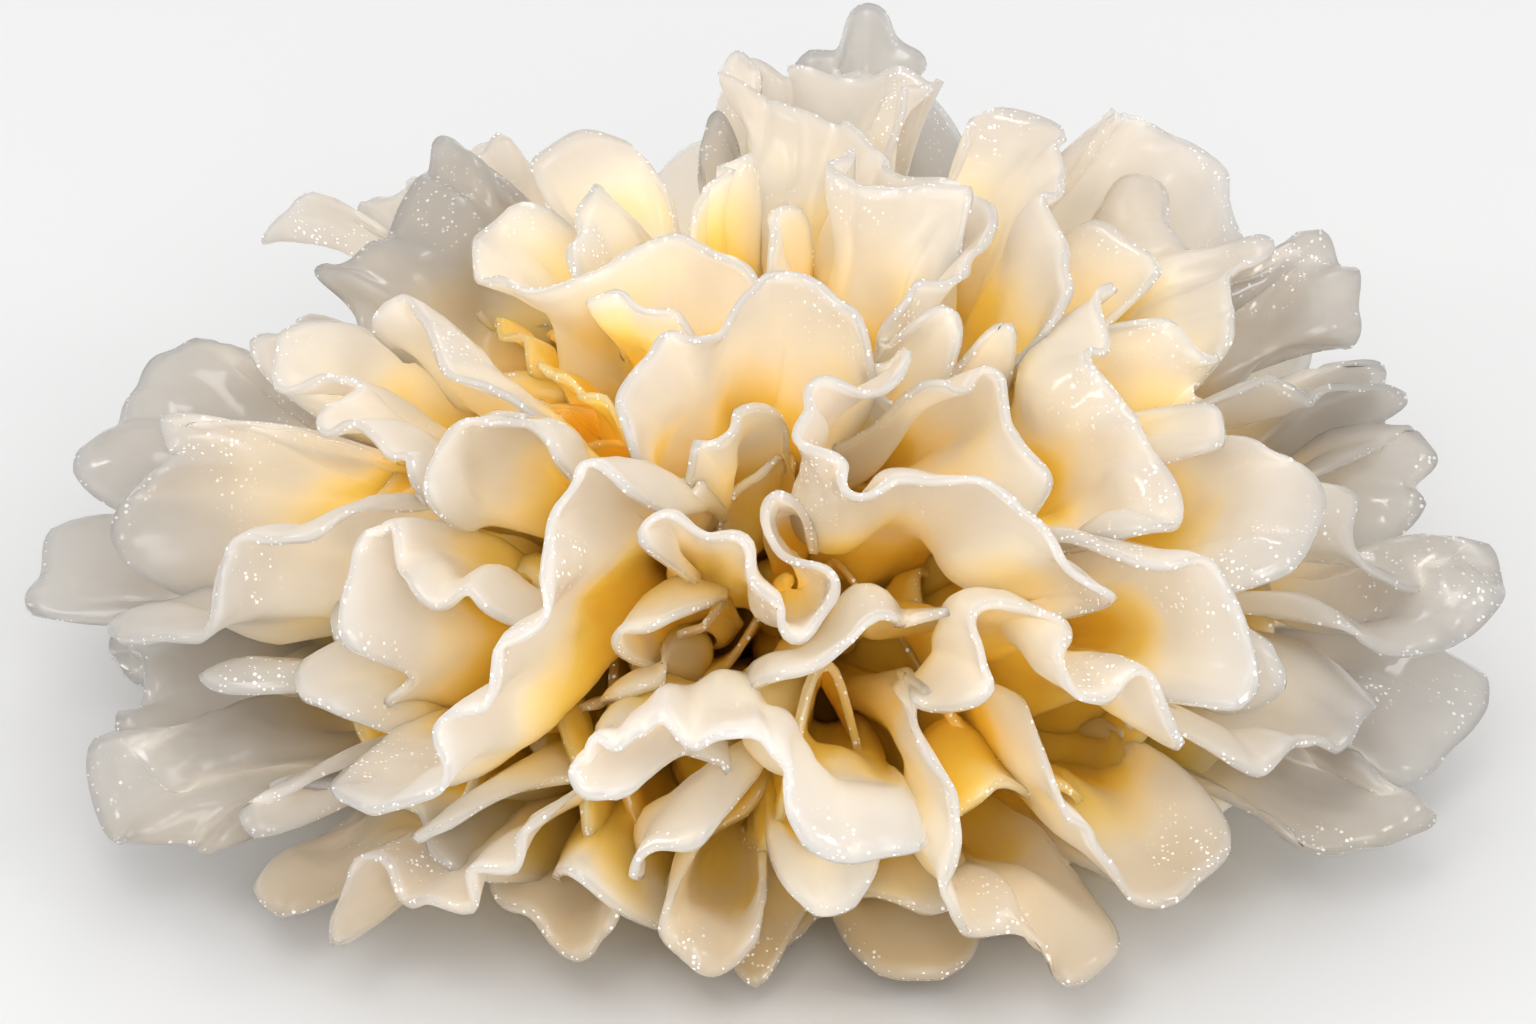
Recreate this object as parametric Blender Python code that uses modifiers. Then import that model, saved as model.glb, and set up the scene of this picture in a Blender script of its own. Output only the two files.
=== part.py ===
"""Snow fungus: a soaked dome of ruffled fronds that all grow from one foot, cut off flat underneath.

Every frond is a thin sheet. Its free rim is traced from the photo, and the sheet runs from there straight
back to the foot. Lengths are in millimetres until the meshes are built, and in metres from there on.
"""
import math

import bmesh
import bpy
import numpy as np
from mathutils import Vector

MM = 0.001

# The whole growth
FUNGUS_WIDTH = 125.0
DOME_RADIUS = 62.5
DOME_CENTRE_HEIGHT = 18.5
DOME_HALF_HEIGHT = 29.7
LOWEST_FROND = 0.8

# The foot that the fronds leave
ROOT_CENTRE = np.array([0.0, 0.0, 4.5])
FOOT_RADIUS = 14.5
CUT_RADIUS = 13.4
FOOT_SEGMENTS = 24
FOOT_RINGS = 12

# The sheets
RIM_THICKNESS = 1.15
ROOT_GAP = 0.4
SIDE_GAP = 1.35
COLUMN_SPACING = 2.7
RIM_SMOOTHING = 3
POINT_SPACING = 1.4
STAGES = 8
STEPS_PER_STAGE = 5
ROWS = 2
END_ROLL_LENGTH = 4.0
END_ROLL_DEPTH = 0.3
SHORTEST_RIM = 9.0

# How the photo was taken: the rims below are given in its 1536 x 1024 frame
PHOTO_MIDDLE = (768.0, 505.0)
PHOTO_HALF_SIZE = (740.0, 480.0)
PHOTO_FUNGUS_WIDTH = 1480.0
MM_PER_PIXEL = FUNGUS_WIDTH / PHOTO_FUNGUS_WIDTH
VIEW_ELEVATION = math.radians(30.0)
VIEW_DISTANCE = 540.0
VIEW_AIM = np.array([0.0, 0.0, DOME_CENTRE_HEIGHT])
VIEW_RIGHT = np.array([1.0, 0.0, 0.0])
VIEW_UP = np.array([0.0, math.sin(VIEW_ELEVATION), math.cos(VIEW_ELEVATION)])
VIEW_TOWARD = np.array([0.0, -math.cos(VIEW_ELEVATION), math.sin(VIEW_ELEVATION)])

# Each rim: how far out it lies at its two ends (1 on the near side of the dome, 0 on its outline, below 0
# behind it), how many pixels its sheet leans right and down on the way in, and points along it
RIMS = {
    "long_ribbon": (1.02, 0.92, (40, 0), (
        (650, 497), (632, 474), (602, 463), (575, 473), (560, 500), (548, 535), (544, 575), (538, 615),
        (524, 657), (505, 678), (475, 688), (448, 708), (438, 738), (441, 768), (446, 792), (428, 814),
        (405, 822), (385, 814), (366, 818), (355, 800), (338, 792), (318, 796), (302, 778))),
    "left_fan": (0.9, 0.93, (0, 0), (
        (400, 527), (414, 512), (419, 485), (424, 463), (441, 447), (450, 425), (465, 416), (485, 413),
        (505, 418), (528, 432), (550, 432), (565, 445), (571, 466))),
    "finger_wave": (0.9, 0.88, (0, 20), (
        (352, 668), (338, 665), (335, 638), (343, 605), (348, 580), (361, 548), (368, 522), (385, 516),
        (398, 525), (402, 550), (401, 580), (412, 600), (432, 606), (452, 598), (470, 588), (482, 592),
        (486, 612), (496, 634))),
    "serpent": (0.72, 0.88, (0, 0), (
        (300, 302), (283, 325), (279, 350), (273, 376), (284, 392), (303, 387), (323, 371), (346, 366),
        (362, 376), (360, 394), (338, 402), (319, 411), (316, 430), (340, 441), (380, 438), (402, 453),
        (413, 484), (396, 494))),
    "left_wing": (0.86, 0.55, (0, 0), (
        (372, 496), (345, 503), (320, 524), (298, 538), (262, 541), (235, 541), (220, 555), (214, 590),
        (212, 625), (203, 643), (185, 648), (163, 643), (140, 646), (118, 642), (102, 622), (92, 603))),
    "left_cup": (0.55, 0.4, (0, 0), (
        (240, 409), (220, 418), (198, 415), (178, 410), (162, 414), (157, 427), (168, 444), (176, 455),
        (150, 480), (130, 498), (115, 516), (113, 543), (118, 562), (106, 585))),
    "left_far_lobe": (-0.1, -0.1, (0, 0), (
        (97, 512), (72, 530), (48, 553), (35, 578), (29, 603), (36, 622), (55, 628), (78, 622))),
    "left_back_lobe": (-0.5, -0.2, (0, 0), (
        (90, 518), (79, 497), (81, 465), (92, 445), (108, 436), (117, 432), (125, 408), (138, 397),
        (150, 390), (148, 372), (158, 352), (178, 337), (195, 331), (203, 347), (220, 362), (243, 381),
        (262, 402))),
    "panel": (0.62, 0.86, (0, 0), (
        (303, 299), (318, 319), (345, 320), (380, 311), (405, 301), (420, 312), (428, 340), (437, 362),
        (460, 380), (490, 386), (515, 400), (530, 420))),
    "ear_peak": (0.15, 0.0, (0, 0), (
        (288, 253), (297, 267), (317, 271), (340, 261), (365, 245), (388, 233), (393, 220), (410, 203),
        (422, 188), (424, 160), (433, 146), (447, 142), (458, 152), (465, 165), (482, 166), (497, 172),
        (508, 185), (522, 196))),
    "curl": (0.3, 0.25, (0, 0), (
        (552, 188), (530, 183), (526, 168), (540, 155), (560, 141), (585, 133), (610, 136), (635, 150),
        (655, 173), (667, 200), (677, 226))),
    "upper_cup": (0.45, 0.8, (0, 0), (
        (550, 193), (530, 198), (505, 207), (484, 226), (470, 248), (474, 264), (490, 280), (515, 289),
        (545, 290), (575, 283), (600, 268), (625, 251), (650, 240), (672, 235), (695, 236), (715, 247),
        (738, 262), (758, 278))),
    "crest_cup": (0.35, 0.88, (0, 0), (
        (778, 95), (786, 76), (770, 60), (748, 57), (735, 68), (747, 86), (770, 101), (800, 112),
        (830, 117), (850, 127), (872, 150), (895, 172), (918, 182), (948, 182), (975, 190), (992, 208),
        (988, 235), (970, 260), (945, 283), (915, 298), (885, 303))),
    "crest_left_lobe": (0.0, 0.0, (0, 0), (
        (703, 196), (698, 165), (703, 133), (718, 108), (737, 88))),
    "crest_top": (-0.3, -0.6, (0, 0), (
        (785, 92), (793, 72), (812, 56), (840, 42), (860, 29), (874, 23), (888, 32), (905, 48),
        (916, 68), (915, 86), (900, 99), (905, 104), (930, 105), (958, 113), (987, 128))),
    "crest_column": (0.45, 0.8, (0, 0), (
        (945, 180), (962, 152), (980, 128), (1003, 114), (1025, 111), (1045, 120), (1049, 142),
        (1063, 168), (1067, 195), (1062, 222), (1070, 260), (1068, 300), (1052, 325))),
    "right_wave": (-0.1, 0.5, (0, 0), (
        (1090, 215), (1105, 210), (1122, 199), (1145, 188), (1165, 195), (1174, 220), (1186, 247),
        (1198, 262), (1215, 258), (1232, 242), (1250, 233), (1268, 240), (1274, 256), (1262, 265),
        (1240, 268), (1227, 280), (1228, 297), (1238, 313), (1233, 331), (1243, 341), (1262, 337))),
    "right_peak": (0.15, -0.1, (0, 0), (
        (1273, 266), (1286, 274), (1299, 268), (1304, 251), (1309, 233), (1326, 232), (1345, 256),
        (1355, 288), (1364, 325), (1355, 347), (1325, 343), (1290, 342))),
    "right_column": (0.8, 0.92, (0, 0), (
        (1118, 270), (1122, 292), (1107, 312), (1098, 335), (1100, 368), (1122, 393), (1140, 415),
        (1148, 448), (1165, 465), (1180, 487), (1181, 508), (1168, 532), (1148, 544), (1128, 553))),
    "right_edge_lobe": (0.6, 0.0, (0, 0), (
        (1250, 385), (1265, 375), (1280, 382), (1300, 402), (1313, 396), (1335, 385), (1357, 387),
        (1378, 396), (1398, 401), (1415, 396), (1420, 410), (1408, 422))),
    "right_edge_low": (0.1, -0.2, (0, 0), (
        (1352, 470), (1378, 450), (1396, 425), (1412, 422), (1428, 442), (1435, 465), (1425, 480),
        (1408, 488), (1421, 497), (1418, 510), (1426, 530), (1442, 543))),
    "right_fan": (0.8, 0.88, (0, 0), (
        (1243, 416), (1238, 432), (1248, 443), (1272, 450), (1298, 460), (1316, 474), (1325, 495),
        (1322, 515), (1316, 538), (1303, 560), (1285, 578), (1262, 592))),
    "right_tongue": (0.62, 0.55, (0, 0), (
        (1334, 470), (1348, 473), (1357, 490), (1354, 510), (1348, 532), (1359, 556), (1378, 578),
        (1400, 593), (1425, 584), (1445, 562), (1460, 547), (1482, 543), (1502, 562), (1507, 585),
        (1497, 608), (1475, 635), (1445, 655), (1415, 661), (1380, 652), (1345, 633), (1318, 608))),
    "right_grey_lobe": (-0.5, -0.3, (0, 0), (
        (1465, 645), (1480, 662), (1488, 682), (1488, 703), (1478, 723), (1462, 738), (1440, 750),
        (1422, 774), (1400, 793), (1384, 787), (1366, 762), (1352, 745))),
    "right_skirt": (0.35, 0.7, (0, 0), (
        (1396, 668), (1386, 692), (1366, 715), (1350, 745), (1330, 755), (1310, 750), (1292, 749),
        (1275, 758), (1258, 768), (1243, 758), (1228, 742))),
    "diagonal_ribbon": (0.98, 0.98, (-20, 40), (
        (903, 325), (911, 350), (903, 374), (875, 385), (840, 387), (810, 385), (799, 402), (805, 435),
        (820, 465), (826, 487), (850, 498), (882, 495), (912, 481), (938, 470), (962, 482), (995, 489),
        (1022, 503), (1043, 530), (1060, 560), (1075, 592), (1105, 608), (1140, 608))),
    "right_shoulder": (0.95, 0.9, (0, 0), (
        (1085, 527), (1105, 551), (1130, 553), (1152, 564), (1180, 566), (1203, 557), (1222, 570),
        (1232, 600), (1238, 622), (1250, 645), (1262, 675), (1262, 692), (1240, 708), (1215, 717),
        (1195, 708))),
    "inner_curl": (0.82, 0.9, (0, 0), (
        (908, 396), (926, 386), (944, 378), (962, 388), (974, 374), (985, 363), (1000, 375),
        (1008, 398), (1002, 422), (1018, 442), (1042, 460), (1057, 482), (1064, 503))),
    "white_peak": (0.95, 0.92, (0, 0), (
        (627, 462), (632, 448), (624, 430), (616, 410), (626, 382), (648, 350), (668, 327), (682, 337),
        (698, 346), (716, 339), (735, 313), (755, 284), (778, 270), (800, 271), (822, 286), (850, 310),
        (872, 332), (890, 342))),
    "under_peak": (0.88, 0.8, (0, -30), (
        (650, 500), (668, 482), (688, 468), (708, 457), (730, 447), (748, 427), (765, 408), (785, 398))),
    "worm": (0.98, 0.88, (-40, 50), (
        (655, 556), (641, 549), (634, 533), (643, 518), (660, 515), (680, 526), (705, 533), (728, 540),
        (748, 558), (763, 583), (764, 607), (762, 621), (774, 633), (795, 640), (815, 634), (832, 618),
        (850, 600), (850, 584), (832, 573), (808, 567), (783, 557), (768, 535), (762, 510), (768, 490),
        (785, 487), (803, 500), (822, 513))),
    "front_loop": (0.95, 1.0, (0, 0), (
        (660, 767), (648, 785), (625, 797), (598, 800), (573, 793), (562, 772), (562, 745), (577, 726),
        (597, 735), (608, 751), (625, 759), (638, 745), (650, 722), (667, 720), (685, 737), (703, 743),
        (725, 732), (748, 724), (770, 733), (784, 755), (786, 785), (788, 820), (803, 847), (830, 864),
        (860, 864), (887, 852), (908, 848), (930, 858), (948, 862))),
    "big_band": (0.9, 0.95, (60, 40), (
        (750, 712), (760, 694), (780, 677), (805, 666), (832, 655), (852, 638), (850, 618), (866, 606),
        (888, 607), (907, 616), (911, 630))),
    "centre_right": (0.88, 0.8, (0, 0), (
        (962, 722), (978, 713), (995, 698), (992, 668), (976, 643), (970, 620), (985, 601),
        (1008, 605), (1030, 611), (1055, 603), (1074, 610), (1080, 632), (1062, 652), (1052, 668),
        (1062, 690), (1085, 707), (1103, 712), (1117, 697), (1132, 680), (1152, 685), (1168, 705),
        (1177, 735), (1190, 752), (1215, 757))),
    "low_right_ridge": (0.9, 0.4, (0, 0), (
        (925, 722), (914, 738), (925, 760), (945, 775), (957, 797), (957, 830), (955, 860), (940, 875),
        (932, 898), (942, 921), (965, 933), (995, 934), (1022, 930), (1040, 945), (1043, 970),
        (1060, 988), (1088, 980), (1110, 965), (1122, 940), (1130, 922))),
    "low_right_cup": (0.72, 0.4, (0, 0), (
        (1068, 745), (1070, 765), (1078, 795), (1095, 830), (1105, 858), (1112, 880), (1135, 902),
        (1160, 908), (1182, 898), (1200, 878), (1222, 862), (1236, 838), (1243, 803))),
    "right_low": (0.2, 0.1, (0, 0), (
        (1250, 800), (1265, 813), (1285, 838), (1308, 854), (1335, 855), (1360, 842), (1388, 847),
        (1412, 838), (1430, 820), (1431, 806), (1412, 802), (1385, 799), (1360, 787), (1345, 768))),
    "bottom_hook": (0.7, 0.8, (0, 0), (
        (622, 905), (620, 888), (627, 868), (637, 850), (652, 841), (670, 848), (688, 857), (700, 845),
        (718, 828), (738, 810))),
    "bottom_lobe": (0.55, 0.45, (0, 0), (
        (674, 880), (668, 912), (666, 940), (676, 963), (697, 976), (722, 974), (745, 960), (760, 935),
        (765, 905), (764, 885))),
    "low_left_lobe": (0.3, 0.4, (0, 0), (
        (462, 902), (485, 904), (507, 913), (530, 912), (545, 935), (565, 956), (585, 962), (603, 952),
        (610, 930), (608, 900), (598, 872), (583, 852))),
    "low_left_band": (0.75, 0.55, (0, 0), (
        (560, 806), (545, 818), (525, 833), (512, 857), (490, 872), (467, 895), (448, 913), (427, 917),
        (405, 900), (392, 876), (384, 856), (368, 850), (352, 862), (343, 885), (336, 908), (326, 930),
        (334, 948), (352, 954), (366, 936))),
    "left_low_lobe": (0.25, 0.2, (0, 0), (
        (205, 797), (178, 796), (155, 786), (135, 775), (118, 760), (103, 760), (95, 772), (98, 793),
        (107, 813), (125, 830), (150, 836), (172, 830), (188, 828), (195, 843), (200, 860), (222, 864),
        (243, 855), (256, 842))),
    "left_mid_lobe": (-0.1, 0.35, (0, 0), (
        (100, 636), (118, 650), (140, 660), (147, 677), (133, 698), (122, 720), (125, 738), (138, 756),
        (150, 776), (164, 770), (176, 752), (184, 732), (197, 708), (204, 688))),
}

# The far side, which the photo hides: rims of the near side turned about the upright axis
# (name, rim it repeats, turn in degrees)
BACK_FRONDS = (
    ("back_loop", "front_loop", 176.0),
    ("back_ridge", "low_right_ridge", 173.0),
    ("back_ribbon", "long_ribbon", 160.0),
    ("back_bowl", "low_right_cup", 212.0),
    ("back_wave", "right_shoulder", 188.0),
    ("back_diagonal", "diagonal_ribbon", 152.0),
    ("back_fan", "centre_right", 192.0),
    ("back_skirt", "right_skirt", 118.0),
    ("back_band", "low_left_band", 172.0),
    ("back_worm", "worm", 172.0),
    ("back_peak", "white_peak", 128.0),
    ("back_tongue", "right_tongue", 62.0),
    ("back_hem", "low_left_band", 250.0),
    ("back_grey_lobe", "right_grey_lobe", 148.0),
    ("side_ridge", "low_right_ridge", 88.0),
    ("side_cup", "low_right_cup", 243.0),
)


def unit(vectors):
    """The same vectors, one long."""
    return vectors / np.linalg.norm(vectors, axis=-1, keepdims=True)


def dome_point(pixel, layer):
    """The point seen at a pixel of the photo, on the dome or so far in or behind as the layer says."""
    across = (pixel[0] - PHOTO_MIDDLE[0]) / PHOTO_HALF_SIZE[0]
    down = (pixel[1] - PHOTO_MIDDLE[1]) / PHOTO_HALF_SIZE[1]
    flat = math.cos(VIEW_ELEVATION) / DOME_RADIUS
    steep = math.sin(VIEW_ELEVATION) / DOME_HALF_HEIGHT
    half_depth = 1.0 / math.hypot(flat, steep)
    tilt = (math.sin(VIEW_ELEVATION) * math.cos(VIEW_ELEVATION)
            * (DOME_RADIUS ** -2 - DOME_HALF_HEIGHT ** -2) * half_depth ** 2)
    bulge = math.sqrt(max(0.12, 1.0 - across ** 2 - down ** 2))
    x = (pixel[0] - PHOTO_MIDDLE[0]) * MM_PER_PIXEL
    y = (PHOTO_MIDDLE[1] - pixel[1]) * MM_PER_PIXEL
    depth = tilt * y + layer * half_depth * bulge
    nearness = 1.0 - depth / VIEW_DISTANCE
    return VIEW_AIM + VIEW_RIGHT * x * nearness + VIEW_UP * y * nearness + VIEW_TOWARD * depth


def smooth_line(points, spacing):
    """A smooth curve through the points, with a point at every step of about the spacing."""
    points = np.asarray(points)
    padded = np.vstack([2 * points[0] - points[1], points, 2 * points[-1] - points[-2]])
    fine = []
    for index in range(len(points) - 1):
        before, start, end, after = padded[index:index + 4]
        for t in np.arange(0.0, 1.0, 0.1):
            fine.append(0.5 * (2 * start + (end - before) * t
                               + (2 * before - 5 * start + 4 * end - after) * t ** 2
                               + (3 * start - before - 3 * end + after) * t ** 3))
    fine.append(points[-1])
    fine = np.array(fine)
    lengths = np.concatenate([[0.0], np.cumsum(np.linalg.norm(np.diff(fine, axis=0), axis=1))])
    count = max(4, round(lengths[-1] / spacing) + 1)
    steps = np.linspace(0.0, lengths[-1], count)
    return np.column_stack([np.interp(steps, lengths, fine[:, axis]) for axis in range(3)])


def turned(points, degrees):
    """The points, turned about the upright axis."""
    angle = math.radians(degrees)
    turn = np.array([[math.cos(angle), -math.sin(angle), 0.0],
                     [math.sin(angle), math.cos(angle), 0.0],
                     [0.0, 0.0, 1.0]])
    return points @ turn.T


def traced_rim(name):
    """A rim's points and its sheet's lean, in millimetres."""
    near_start, near_end, lean, pixels = RIMS[name]
    layers = np.linspace(near_start, near_end, len(pixels))
    points = [dome_point(pixel, layer) for pixel, layer in zip(pixels, layers)]
    lean_vector = (VIEW_RIGHT * lean[0] - VIEW_UP * lean[1]) * MM_PER_PIXEL
    return smooth_line(points, POINT_SPACING), lean_vector


def all_rims():
    """Every frond's rim and lean by name, the near side first."""
    rims = {name: traced_rim(name) for name in RIMS}
    for name, source, degrees in BACK_FRONDS:
        points, lean_vector = rims[source]
        rims[name] = (turned(points, degrees), turned(lean_vector, degrees))
    return rims


def crowding(ways, clearance):
    """How far each rim point is pushed off by the points nearer to it than the clearance."""
    every = np.concatenate(ways)
    owner = np.concatenate([np.full(len(way), index) for index, way in enumerate(ways)])
    place = np.concatenate([np.arange(len(way)) for way in ways])
    same = owner[:, None] == owner[None, :]
    beside = same & (np.abs(place[:, None] - place[None, :]) < 4)
    wanted = np.where(same, 0.8 * clearance, clearance)
    wanted[beside] = 0.0
    distance = np.sqrt(np.clip(2.0 - 2.0 * every @ every.T, 1e-12, None))
    share = 0.35 * np.clip(wanted - distance, 0.0, None) / distance
    push = every * share.sum(axis=1, keepdims=True) - share @ every
    size = np.linalg.norm(push, axis=1, keepdims=True) + 1e-9
    push *= np.minimum(1.0, 0.35 * clearance / size)
    ends = np.cumsum([len(way) for way in ways])[:-1]
    return np.split(push, ends)


def eased(rows):
    """The rows, each averaged with its four neighbours."""
    padded = np.vstack([rows[:1], rows[:1], rows, rows[-1:], rows[-1:]])
    return sum(padded[shift:shift + len(rows)] for shift in range(5)) / 5.0


def straightened(way):
    """A rim with its bends a little flatter, its ends where they were."""
    flatter = way.copy()
    flatter[1:-1] = 0.25 * way[:-2] + 0.5 * way[1:-1] + 0.25 * way[2:]
    return unit(flatter)


def pushed_apart(rims, rounds=30):
    """The rims, as directions from the root, with those that nearly touch eased away from each other."""
    clearance = (RIM_THICKNESS + SIDE_GAP) / DOME_RADIUS
    radii = [np.linalg.norm(points - ROOT_CENTRE, axis=1) for points, _ in rims.values()]
    ways = [unit(points - ROOT_CENTRE) for points, _ in rims.values()]
    for _ in range(rounds):
        pushes = crowding(ways, clearance)
        ways = [unit(way + eased(push)) for way, push in zip(ways, pushes)]
    for _ in range(RIM_SMOOTHING):
        ways = [straightened(way) for way in ways]
    return {name: (way, radius) for name, way, radius in zip(rims, ways, radii)}


def inward_stages(directions):
    """Each rim followed in to the foot: its ruffles flatten out, and it keeps clear of the others."""
    clearance = (RIM_THICKNESS + SIDE_GAP) / DOME_RADIUS
    ways = [way for way, _ in directions.values()]
    stages = [ways]
    for _ in range(STAGES):
        for _ in range(STEPS_PER_STAGE):
            ways = [straightened(way) for way in ways]
            pushes = crowding(ways, clearance)
            ways = [unit(way + eased(push)) for way, push in zip(ways, pushes)]
        stages.append(ways)
    return {name: np.array([stage[index] for stage in stages])
            for index, name in enumerate(directions)}


def clear_runs(directions):
    """Each rim cut back to its longest stretch that crosses none of the rims before it."""
    clearance = 0.8 * (RIM_THICKNESS + SIDE_GAP) / DOME_RADIUS
    placed = np.empty((0, 3))
    kept = {}
    for name, (ways, radii) in directions.items():
        if len(placed):
            nearest = np.linalg.norm(ways[:, None, :] - placed[None, :, :], axis=2).min(axis=1)
            free = nearest > clearance
        else:
            free = np.full(len(ways), True)
        runs = []
        start = None
        for index, is_free in enumerate(list(free) + [False]):
            if is_free and start is None:
                start = index
            if not is_free and start is not None:
                runs.append((index - start, start))
                start = None
        longest, first = max(runs) if runs else (0, 0)
        if longest * POINT_SPACING < SHORTEST_RIM:
            continue
        kept[name] = (ways[first:first + longest], radii[first:first + longest])
        placed = np.vstack([placed, kept[name][0]])
    return kept


def foot_radius(way):
    """How far the foot reaches from the root's centre in one direction."""
    around = math.atan2(way[1], way[0])
    lumps = 0.35 * math.sin(3 * around + 0.6) + 0.25 * math.sin(5 * around + 2.0)
    return FOOT_RADIUS + lumps * (1.0 - abs(way[2]))


def lean_at(way, lean_points, lean_vectors):
    """The lean shared by every sheet that passes near a direction."""
    weights = np.exp(-np.sum((lean_points - way) ** 2, axis=1) / (2 * 0.09 ** 2))
    return (weights[:, None] * lean_vectors).sum(axis=0) / (weights.sum() + 0.5)


def make_material(name, colour, roughness):
    """A plain finish of one colour."""
    material = bpy.data.materials.new(name)
    material.use_nodes = True
    shader = material.node_tree.nodes["Principled BSDF"]
    shader.inputs["Base Color"].default_value = (*colour, 1.0)
    shader.inputs["Roughness"].default_value = roughness
    shader.inputs["Metallic"].default_value = 0.0
    return material


def add_object(name, mesh, colour, collection):
    """An object with its own material, shaded smooth."""
    mesh.shade_smooth()
    mesh.materials.append(make_material(name + "_flesh", colour, 0.3))
    obj = bpy.data.objects.new(name, mesh)
    collection.objects.link(obj)
    return obj


def make_foot(collection):
    """The amber lump that the fronds grow from, with the flat cut where it left the wood."""
    cage = bmesh.new()
    bmesh.ops.create_uvsphere(cage, u_segments=FOOT_SEGMENTS, v_segments=FOOT_RINGS, radius=1.0)
    cut_start = math.sin(math.radians(-10.0))
    for vert in cage.verts:
        way = np.array(vert.co.normalized())
        if way[2] < cut_start:
            below = math.acos(-way[2]) / math.radians(90.0 - 180.0 / FOOT_RINGS)
            level = unit(np.array([way[0], way[1], 0.0]) + 1e-9) * CUT_RADIUS * below
            vert.co = Vector((level[0], level[1], 0.0)) * MM
        else:
            vert.co = Vector(ROOT_CENTRE + way * foot_radius(way)) * MM
    mesh = bpy.data.meshes.new("foot")
    cage.to_mesh(mesh)
    cage.free()
    obj = add_object("foot", mesh, (0.62, 0.36, 0.10), collection)
    mesh.set_sharp_from_angle(angle=math.radians(50.0))
    return obj


def sheet_point(stages, radii, lean, along, outward):
    """A point of a sheet: along its rim from 0 to 1, and outward from the foot at 0 to the rim at 1."""
    place = along * (len(radii) - 1)
    index = min(int(place), len(radii) - 2)
    part = place - index
    inward = (1.0 - outward) * (len(stages) - 1)
    stage = min(int(inward), len(stages) - 2)
    between = inward - stage
    corners = stages[stage:stage + 2, index:index + 2]
    near, far = corners[0] * (1.0 - between) + corners[1] * between
    way = unit(near * (1.0 - part) + far * part)
    radius = radii[index] * (1.0 - part) + radii[index + 1] * part
    to_end = min(place, len(radii) - 1 - place) * POINT_SPACING
    roll = max(0.0, 1.0 - to_end / END_ROLL_LENGTH)
    radius *= 1.0 - END_ROLL_DEPTH * roll ** 2
    root = foot_radius(way) + ROOT_GAP
    reach = root + (radius - root) * outward
    bent = unit(way + lean_at(way, *lean) / DOME_RADIUS * (1.0 - reach / radius))
    point = ROOT_CENTRE + bent * max(reach, foot_radius(bent) + ROOT_GAP)
    point[2] = max(point[2], LOWEST_FROND)
    return point


def make_frond(name, stages, radii, lean, colour, collection):
    """One ruffled sheet, as thin at its root as the crowd there asks."""
    columns = max(5, round((len(radii) - 1) * POINT_SPACING / COLUMN_SPACING))
    sheet = bmesh.new()
    bmesh.ops.create_grid(sheet, x_segments=columns, y_segments=ROWS, size=1.0)
    for vert in sheet.verts:
        along = 0.5 * (vert.co.x + 1.0)
        outward = 0.5 * (vert.co.y + 1.0)
        vert.co = Vector(sheet_point(stages, radii, lean, along, outward)) * MM
    mesh = bpy.data.meshes.new(name)
    sheet.to_mesh(mesh)
    sheet.free()
    obj = add_object(name, mesh, colour, collection)
    thin = obj.vertex_groups.new(name="thickness")
    root = Vector(ROOT_CENTRE) * MM
    for vert in mesh.vertices:
        thin.add([vert.index], min(1.0, (vert.co - root).length / (DOME_RADIUS * MM)), "REPLACE")
    body = obj.modifiers.new("body", "SOLIDIFY")
    body.thickness = RIM_THICKNESS * MM
    body.offset = 0.0
    body.vertex_group = thin.name
    return obj


def frond_colour(ways):
    """Cream near the front, paler and greyer on the outline and behind."""
    nearness = float(np.clip((ways @ VIEW_TOWARD).mean(), 0.0, 1.0))
    grey = np.array([0.62, 0.60, 0.56])
    cream = np.array([0.88, 0.76, 0.55])
    return tuple(grey + (cream - grey) * nearness)


def build():
    """The foot and every frond, in one collection."""
    for obj in list(bpy.data.objects):
        bpy.data.objects.remove(obj, do_unlink=True)
    collection = bpy.data.collections.new("snow_fungus")
    bpy.context.scene.collection.children.link(collection)
    rims = all_rims()
    directions = clear_runs(pushed_apart(rims))
    lean_points = np.vstack([ways[::4] for ways, _ in directions.values()])
    lean_vectors = np.vstack([np.tile(rims[name][1], (len(ways[::4]), 1))
                              for name, (ways, _) in directions.items()])
    lean = (lean_points, lean_vectors)
    make_foot(collection)
    stages = inward_stages(directions)
    for name, (ways, radii) in directions.items():
        make_frond(name, stages[name], radii, lean, frond_colour(ways), collection)


build()
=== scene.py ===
import math

import bpy
import numpy as np
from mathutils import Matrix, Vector


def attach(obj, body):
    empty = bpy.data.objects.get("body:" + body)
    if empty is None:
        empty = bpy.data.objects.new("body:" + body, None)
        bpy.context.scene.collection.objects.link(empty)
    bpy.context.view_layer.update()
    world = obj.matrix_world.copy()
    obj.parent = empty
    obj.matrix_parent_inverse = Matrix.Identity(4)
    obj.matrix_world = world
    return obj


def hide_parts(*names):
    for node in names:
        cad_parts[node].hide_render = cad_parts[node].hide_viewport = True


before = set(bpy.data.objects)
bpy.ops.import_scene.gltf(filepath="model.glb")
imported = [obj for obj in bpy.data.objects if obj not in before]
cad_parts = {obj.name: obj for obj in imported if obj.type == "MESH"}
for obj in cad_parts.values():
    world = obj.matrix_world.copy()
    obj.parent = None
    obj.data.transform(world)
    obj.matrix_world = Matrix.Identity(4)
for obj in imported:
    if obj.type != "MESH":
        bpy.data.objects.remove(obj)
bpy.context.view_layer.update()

# The foot
# The dense amber lump that every frond grows from, cut off flat underneath where it grew on wood. Its side
# is smooth wet jelly, and the cut face is matt, with the pale fibres that a knife leaves.
MM = 0.001
ROOT_CENTRE = np.array([0.0, 0.0, 4.5])
FOOT_RADIUS = 14.5
CUT_LAYER = (0.0006, 0.0030)
SKIN_HEIGHT = 0.4 * MM
CUT_ROUGHNESS = (0.38, 0.75)
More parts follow.
